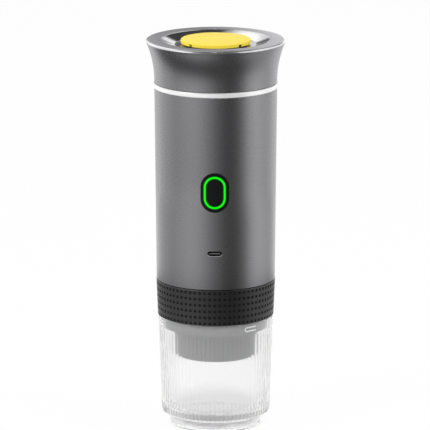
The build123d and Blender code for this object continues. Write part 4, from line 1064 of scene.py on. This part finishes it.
swept = add(thread_tree, "GeometryNodeCurveToMesh", {
    "Curve": upright.outputs[0], "Profile Curve": on_wall.outputs[0], "Fill Caps": True,
})
step = add(thread_tree, "ShaderNodeMath", {0: 2 * pi, 1: start.outputs["Starts"]}, operation="DIVIDE")
spots = add(thread_tree, "GeometryNodePoints", {"Count": start.outputs["Starts"]})
number = add(thread_tree, "GeometryNodeInputIndex")
turn = add(thread_tree, "ShaderNodeMath", {0: number.outputs[0], 1: step.outputs[0]}, operation="MULTIPLY")
turned = add(thread_tree, "ShaderNodeCombineXYZ", {"Z": turn.outputs[0]})
foot = add(thread_tree, "ShaderNodeCombineXYZ", {"Z": start.outputs["Foot"]})
copies = add(thread_tree, "GeometryNodeInstanceOnPoints", {
    "Points": spots.outputs[0], "Instance": swept.outputs[0], "Rotation": turned.outputs[0],
})
lifted = add(thread_tree, "GeometryNodeTranslateInstances", {
    "Instances": copies.outputs[0], "Translation": foot.outputs[0], "Local Space": False,
})
real = add(thread_tree, "GeometryNodeRealizeInstances", {0: lifted.outputs[0]})
coated = add(thread_tree, "GeometryNodeSetMaterial", {
    "Geometry": real.outputs[0], "Material": start.outputs["Material"],
})
add(thread_tree, "NodeGroupOutput", {0: coated.outputs[0]})


def thread(name, wall, side, foot, height, lead, body, material, slot):
    """Sweep a right-hand thread from its foot up, on the outside of a spigot or the inside of a bore."""
    piece = bpy.data.objects.new(name, bpy.data.meshes.new(name))
    scene.collection.objects.link(piece)
    grow(piece, thread_tree, thread_sockets, {
        "Radius": (wall + side * THREAD_DEPTH / 2) * MM, "Lead": lead * MM, "Turns": height / lead,
        "Foot": foot * MM, "Depth": THREAD_DEPTH * MM, "Width": THREAD_WIDTH * MM, "Side": side,
        "Starts": THREAD_STARTS, "Material": material,
    })
    soften(piece)
    dress(piece, material, body, slot)


lid_half_pitch = LID_LEAD / THREAD_STARTS / 2
head_half_pitch = HEAD_LEAD / THREAD_STARTS / 2
thread(
    "lid_thread", LID_SPIGOT_RADIUS, OUTSIDE, LID_THREAD_FOOT, LID_THREAD_HEIGHT, LID_LEAD,
    "lid", black_nylon, "dark_moulding",
)
thread(
    "neck_thread", NECK_BORE, INSIDE, LID_THREAD_FOOT + lid_half_pitch, LID_THREAD_HEIGHT, LID_LEAD,
    "main_body", black_nylon, "dark_moulding",
)
thread(
    "head_thread", HEAD_SPIGOT_RADIUS, OUTSIDE, HEAD_THREAD_FOOT, HEAD_THREAD_HEIGHT, HEAD_LEAD,
    "main_body", black_nylon, "dark_moulding",
)
thread(
    "chamber_thread", CHAMBER_BORE, INSIDE, HEAD_THREAD_FOOT + head_half_pitch, HEAD_THREAD_HEIGHT, HEAD_LEAD,
    "brew_head", grey_plastic, "grey_moulding",
)


# Studio, in metres: pale floor, white surroundings, soft lamps and dark cards that the metal mirrors

def flat_sheet(name, corners, faces, material):
    """Make a stage sheet from its corners and faces."""
    mesh = bpy.data.meshes.new(name)
    mesh.from_pydata(corners, [], faces)
    mesh.materials.append(material)
    sheet = bpy.data.objects.new(name, mesh)
    scene.collection.objects.link(sheet)
    return sheet


# Surroundings: white to the camera, in mirrors and through the clear cup, and dimmer as a light
world = bpy.data.worlds.new("white_studio")
scene.world = world
world.use_nodes = True
tree = world.node_tree
tree.nodes.clear()
ambient = 0.5
path = add(tree, "ShaderNodeLightPath")
direct = add(tree, "ShaderNodeMath", {
    0: path.outputs["Is Camera Ray"], 1: path.outputs["Is Glossy Ray"],
}, operation="MAXIMUM")
seen = add(tree, "ShaderNodeMath", {
    0: direct.outputs[0], 1: path.outputs["Is Transmission Ray"],
}, operation="MAXIMUM")
level = add(tree, "ShaderNodeMapRange", {"Value": seen.outputs[0], "To Min": ambient, "To Max": 1.0})
white = add(tree, "ShaderNodeBackground", {"Color": (1, 1, 1, 1), "Strength": level.outputs[0]})
add(tree, "ShaderNodeOutputWorld", {"Surface": white.outputs[0]})

# Floor: nearly as white as the surroundings, with the object's soft shadow on it
floor_paint = bpy.data.materials.new("pale_floor")
floor_paint.use_nodes = True
tree = floor_paint.node_tree
tree.nodes.clear()
chalk = add(tree, "ShaderNodeBsdfDiffuse", {"Color": linear("#F4F4F4")})
glow = add(tree, "ShaderNodeEmission", {"Color": (1, 1, 1, 1), "Strength": 1.0})
path = add(tree, "ShaderNodeLightPath")
glow_seen = 0.96
glow_through = 0.35
through = add(tree, "ShaderNodeMath", {
    0: path.outputs["Is Transmission Ray"], 1: glow_through,
}, operation="MULTIPLY")
direct = add(tree, "ShaderNodeMath", {
    0: path.outputs["Is Camera Ray"], 1: path.outputs["Is Glossy Ray"],
}, operation="MAXIMUM")
most = add(tree, "ShaderNodeMath", {0: direct.outputs[0], 1: glow_seen}, operation="MULTIPLY")
share = add(tree, "ShaderNodeMath", {0: most.outputs[0], 1: through.outputs[0]}, operation="MAXIMUM")
mixed = add(tree, "ShaderNodeMixShader", {"Fac": share.outputs[0], 1: chalk.outputs[0], 2: glow.outputs[0]})
add(tree, "ShaderNodeOutputMaterial", {"Surface": mixed.outputs[0]})
floor_reach = 6.0
flat_sheet("floor", [
    (-floor_reach, -floor_reach, 0), (floor_reach, -floor_reach, 0), (floor_reach, floor_reach, 0),
    (-floor_reach, floor_reach, 0),
], [(0, 1, 2, 3)], floor_paint)

# Cards that only mirroring surfaces show. Their paint takes its brightness from each corner
card_paint = bpy.data.materials.new("studio_card")
card_paint.use_nodes = True
tree = card_paint.node_tree
tree.nodes.clear()
brightness = add(tree, "ShaderNodeAttribute", attribute_name="brightness")
shine = add(tree, "ShaderNodeEmission", {"Color": (1, 1, 1, 1), "Strength": brightness.outputs["Fac"]})
add(tree, "ShaderNodeOutputMaterial", {"Surface": shine.outputs[0]})


def card(name, rows):
    """Make a card from rows of corners, each with its place and its brightness."""
    across = len(rows[0])
    corners = [corner for row in rows for corner in row]
    firsts = [row * across + column for row in range(len(rows) - 1) for column in range(across - 1)]
    faces = [(first, first + 1, first + across + 1, first + across) for first in firsts]
    sheet = flat_sheet(name, [place for place, _ in corners], faces, card_paint)
    values = sheet.data.attributes.new("brightness", "FLOAT", "POINT").data
    values.foreach_set("value", [value for _, value in corners])
    sheet.visible_camera = False
    sheet.visible_diffuse = False
    sheet.visible_transmission = False
    sheet.visible_shadow = False


def towards(bearing, elevation, distance, centre=(0, 0, 0)):
    """Give a place by its bearing to the right of straight ahead, its elevation and its distance."""
    flat = distance * cos(radians(elevation))
    return (
        centre[0] + flat * sin(radians(bearing)),
        centre[1] - flat * cos(radians(bearing)),
        centre[2] + distance * sin(radians(elevation)),
    )


# Table card: it lies round the front, and bends up far away. The near rows darken the lid's flare,
# and the far ones give the housing its dark stripe
CARD_BEARINGS = (-140, -110, -80, -60, -40, -25, -10, 5, 20, 35, 50, 65, 80, 110, 140)
HOUSING_STRIPES = (1.2, 0.9, 0.65, 0.75, 0.85, 0.75, 0.5, 0.27, 0.13, 0.12, 0.33, 0.9, 1.08, 0.8, 1.2)
CARD_ROWS = {
    (0.10, 0.001): (1.0, 0.9, 0.7, 0.8, 0.85, 0.8, 0.6, 0.35, 0.2, 0.18, 0.3, 0.55, 0.75, 0.9, 1.0),
    (0.21, 0.001): (0.9, 0.8, 0.85, 0.9, 0.8, 0.7, 0.5, 0.28, 0.16, 0.16, 0.3, 0.6, 0.8, 0.95, 1.1),
    (0.275, 0.001): (0.6, 0.4, 0.22, 0.18, 0.16, 0.15, 0.12, 0.12, 0.12, 0.12, 0.16, 0.36, 0.6, 0.75, 1.0),
    (0.34, 0.001): (0.45, 0.15, 0.06, 0.05, 0.05, 0.05, 0.05, 0.08, 0.1, 0.1, 0.12, 0.28, 0.5, 0.7, 1.0),
    (0.43, 0.001): (0.5, 0.2, 0.06, 0.05, 0.05, 0.06, 0.06, 0.08, 0.1, 0.1, 0.12, 0.35, 0.6, 0.7, 1.0),
    (0.56, 0.001): HOUSING_STRIPES,
    (1.30, 0.001): HOUSING_STRIPES,
    (1.40, 1.000): HOUSING_STRIPES,
}
# Waist card: a low fence close round the front. It carries the stripes down to the housing's foot, and
# is dimmer below, where the grip ring mirrors it
GRIP_DIMNESS = 0.42
GRIP_STRIPES = [GRIP_DIMNESS * value for value in HOUSING_STRIPES]
WAIST_ROWS = {
    (0.12, 0.045): GRIP_STRIPES,
    (0.12, 0.068): GRIP_STRIPES,
    (0.12, 0.076): HOUSING_STRIPES,
    (0.12, 0.125): HOUSING_STRIPES,
}
for name, card_rows in (("table_card", CARD_ROWS), ("waist_card", WAIST_ROWS)):
    card(name, [
        [
            ((*towards(bearing, 0, distance)[:2], height), value)
            for bearing, value in zip(CARD_BEARINGS, values)
        ]
        for (distance, height), values in card_rows.items()
    ])

# Sky card: a dome over the lid, painted with soft patches. Each patch has its bearings, its elevations
# and its brightness, and later ones lie over earlier ones
LID_CENTRE = (0, 0, LID_TOP * MM)
SKY_RADIUS = 0.5
SKY_STEP = 3
SKY_BLUR = 4.0
SKY_BRIGHTNESS = 0.9
SKY_SPANS = {"sky_card": ((0, 361), (3, 90)), "horizon_card": ((147, 199), (-9, 4))}
SKY_PATCHES = (
    (0, 360, 55, 95, 0.12),
    (-40, 40, -10, 55, 0.15),
    (145, 187, 19, 95, 0.05),
    (187, 238, 15, 56, 1.2),
    (179, 196, -12, 15, 0.12),
    (150, 176, -12, 16, 1.1),
)


def sky(bearing, elevation):
    """Give the brightness of the sky card at this bearing and elevation."""
    value = SKY_BRIGHTNESS
    for first, last, low, high, brightness in SKY_PATCHES:
        middle, half = (first + last) / 2, (last - first) / 2
        aside = abs((bearing - middle + 180) % 360 - 180) - half
        past = max(aside, low - elevation, elevation - high)
        value += (brightness - value) * min(max(0.5 - past / SKY_BLUR, 0), 1)
    return value


for name, (bearings, elevations) in SKY_SPANS.items():
    card(name, [
        [
            (towards(bearing, elevation, SKY_RADIUS, LID_CENTRE), sky(bearing, elevation))
            for bearing in range(*bearings, SKY_STEP)
        ]
        for elevation in range(*elevations, SKY_STEP)
    ])


def lamp(name, place, target, size, power):
    """Hang a soft square lamp that looks at a target."""
    light = bpy.data.lights.new(name, "AREA")
    light.shape = "SQUARE"
    light.size = size
    light.energy = power
    hung = bpy.data.objects.new(name, light)
    hung.location = place
    hung.rotation_mode = "QUATERNION"
    hung.rotation_quaternion = (Vector(target) - Vector(place)).to_track_quat("-Z", "Y")
    scene.collection.objects.link(hung)


object_middle = (0, 0, 0.13)
lamp("left_lamp", place=(-1.3, -0.9, 0.9), target=object_middle, size=0.9, power=15)
lamp("right_lamp", place=(1.4, -0.5, 0.8), target=object_middle, size=0.7, power=9)
lamp("top_lamp", place=(0.0, 0.2, 1.6), target=object_middle, size=0.9, power=8)

# Camera: a long lens three metres away, a little above the lid
CAMERA_DISTANCE = 3.0
CAMERA_REACH = 100.0
CAMERA_ELEVATION = 12.68
CAMERA_AZIMUTH = 1.0
CAMERA_TARGET = Vector((0, 0, 0.1321))
SENSOR_WIDTH = 36.0
FRAME_PIXELS = 430
FOCAL_PIXELS = 4826
TARGET_COLUMN = 215.75
camera = bpy.data.objects.new("camera", bpy.data.cameras.new("camera"))
camera.data.sensor_width = SENSOR_WIDTH
camera.data.lens = SENSOR_WIDTH * FOCAL_PIXELS / FRAME_PIXELS
camera.data.clip_end = CAMERA_REACH
view = Vector(towards(CAMERA_AZIMUTH, CAMERA_ELEVATION, 1.0))
aside = (FRAME_PIXELS / 2 - TARGET_COLUMN) / FOCAL_PIXELS * CAMERA_DISTANCE
to_right = Vector(towards(CAMERA_AZIMUTH + 90, 0, 1.0))
camera.location = CAMERA_TARGET + view * CAMERA_DISTANCE + to_right * aside
camera.rotation_mode = "QUATERNION"
camera.rotation_quaternion = (-view).to_track_quat("-Z", "Y")
scene.collection.objects.link(camera)
scene.camera = camera
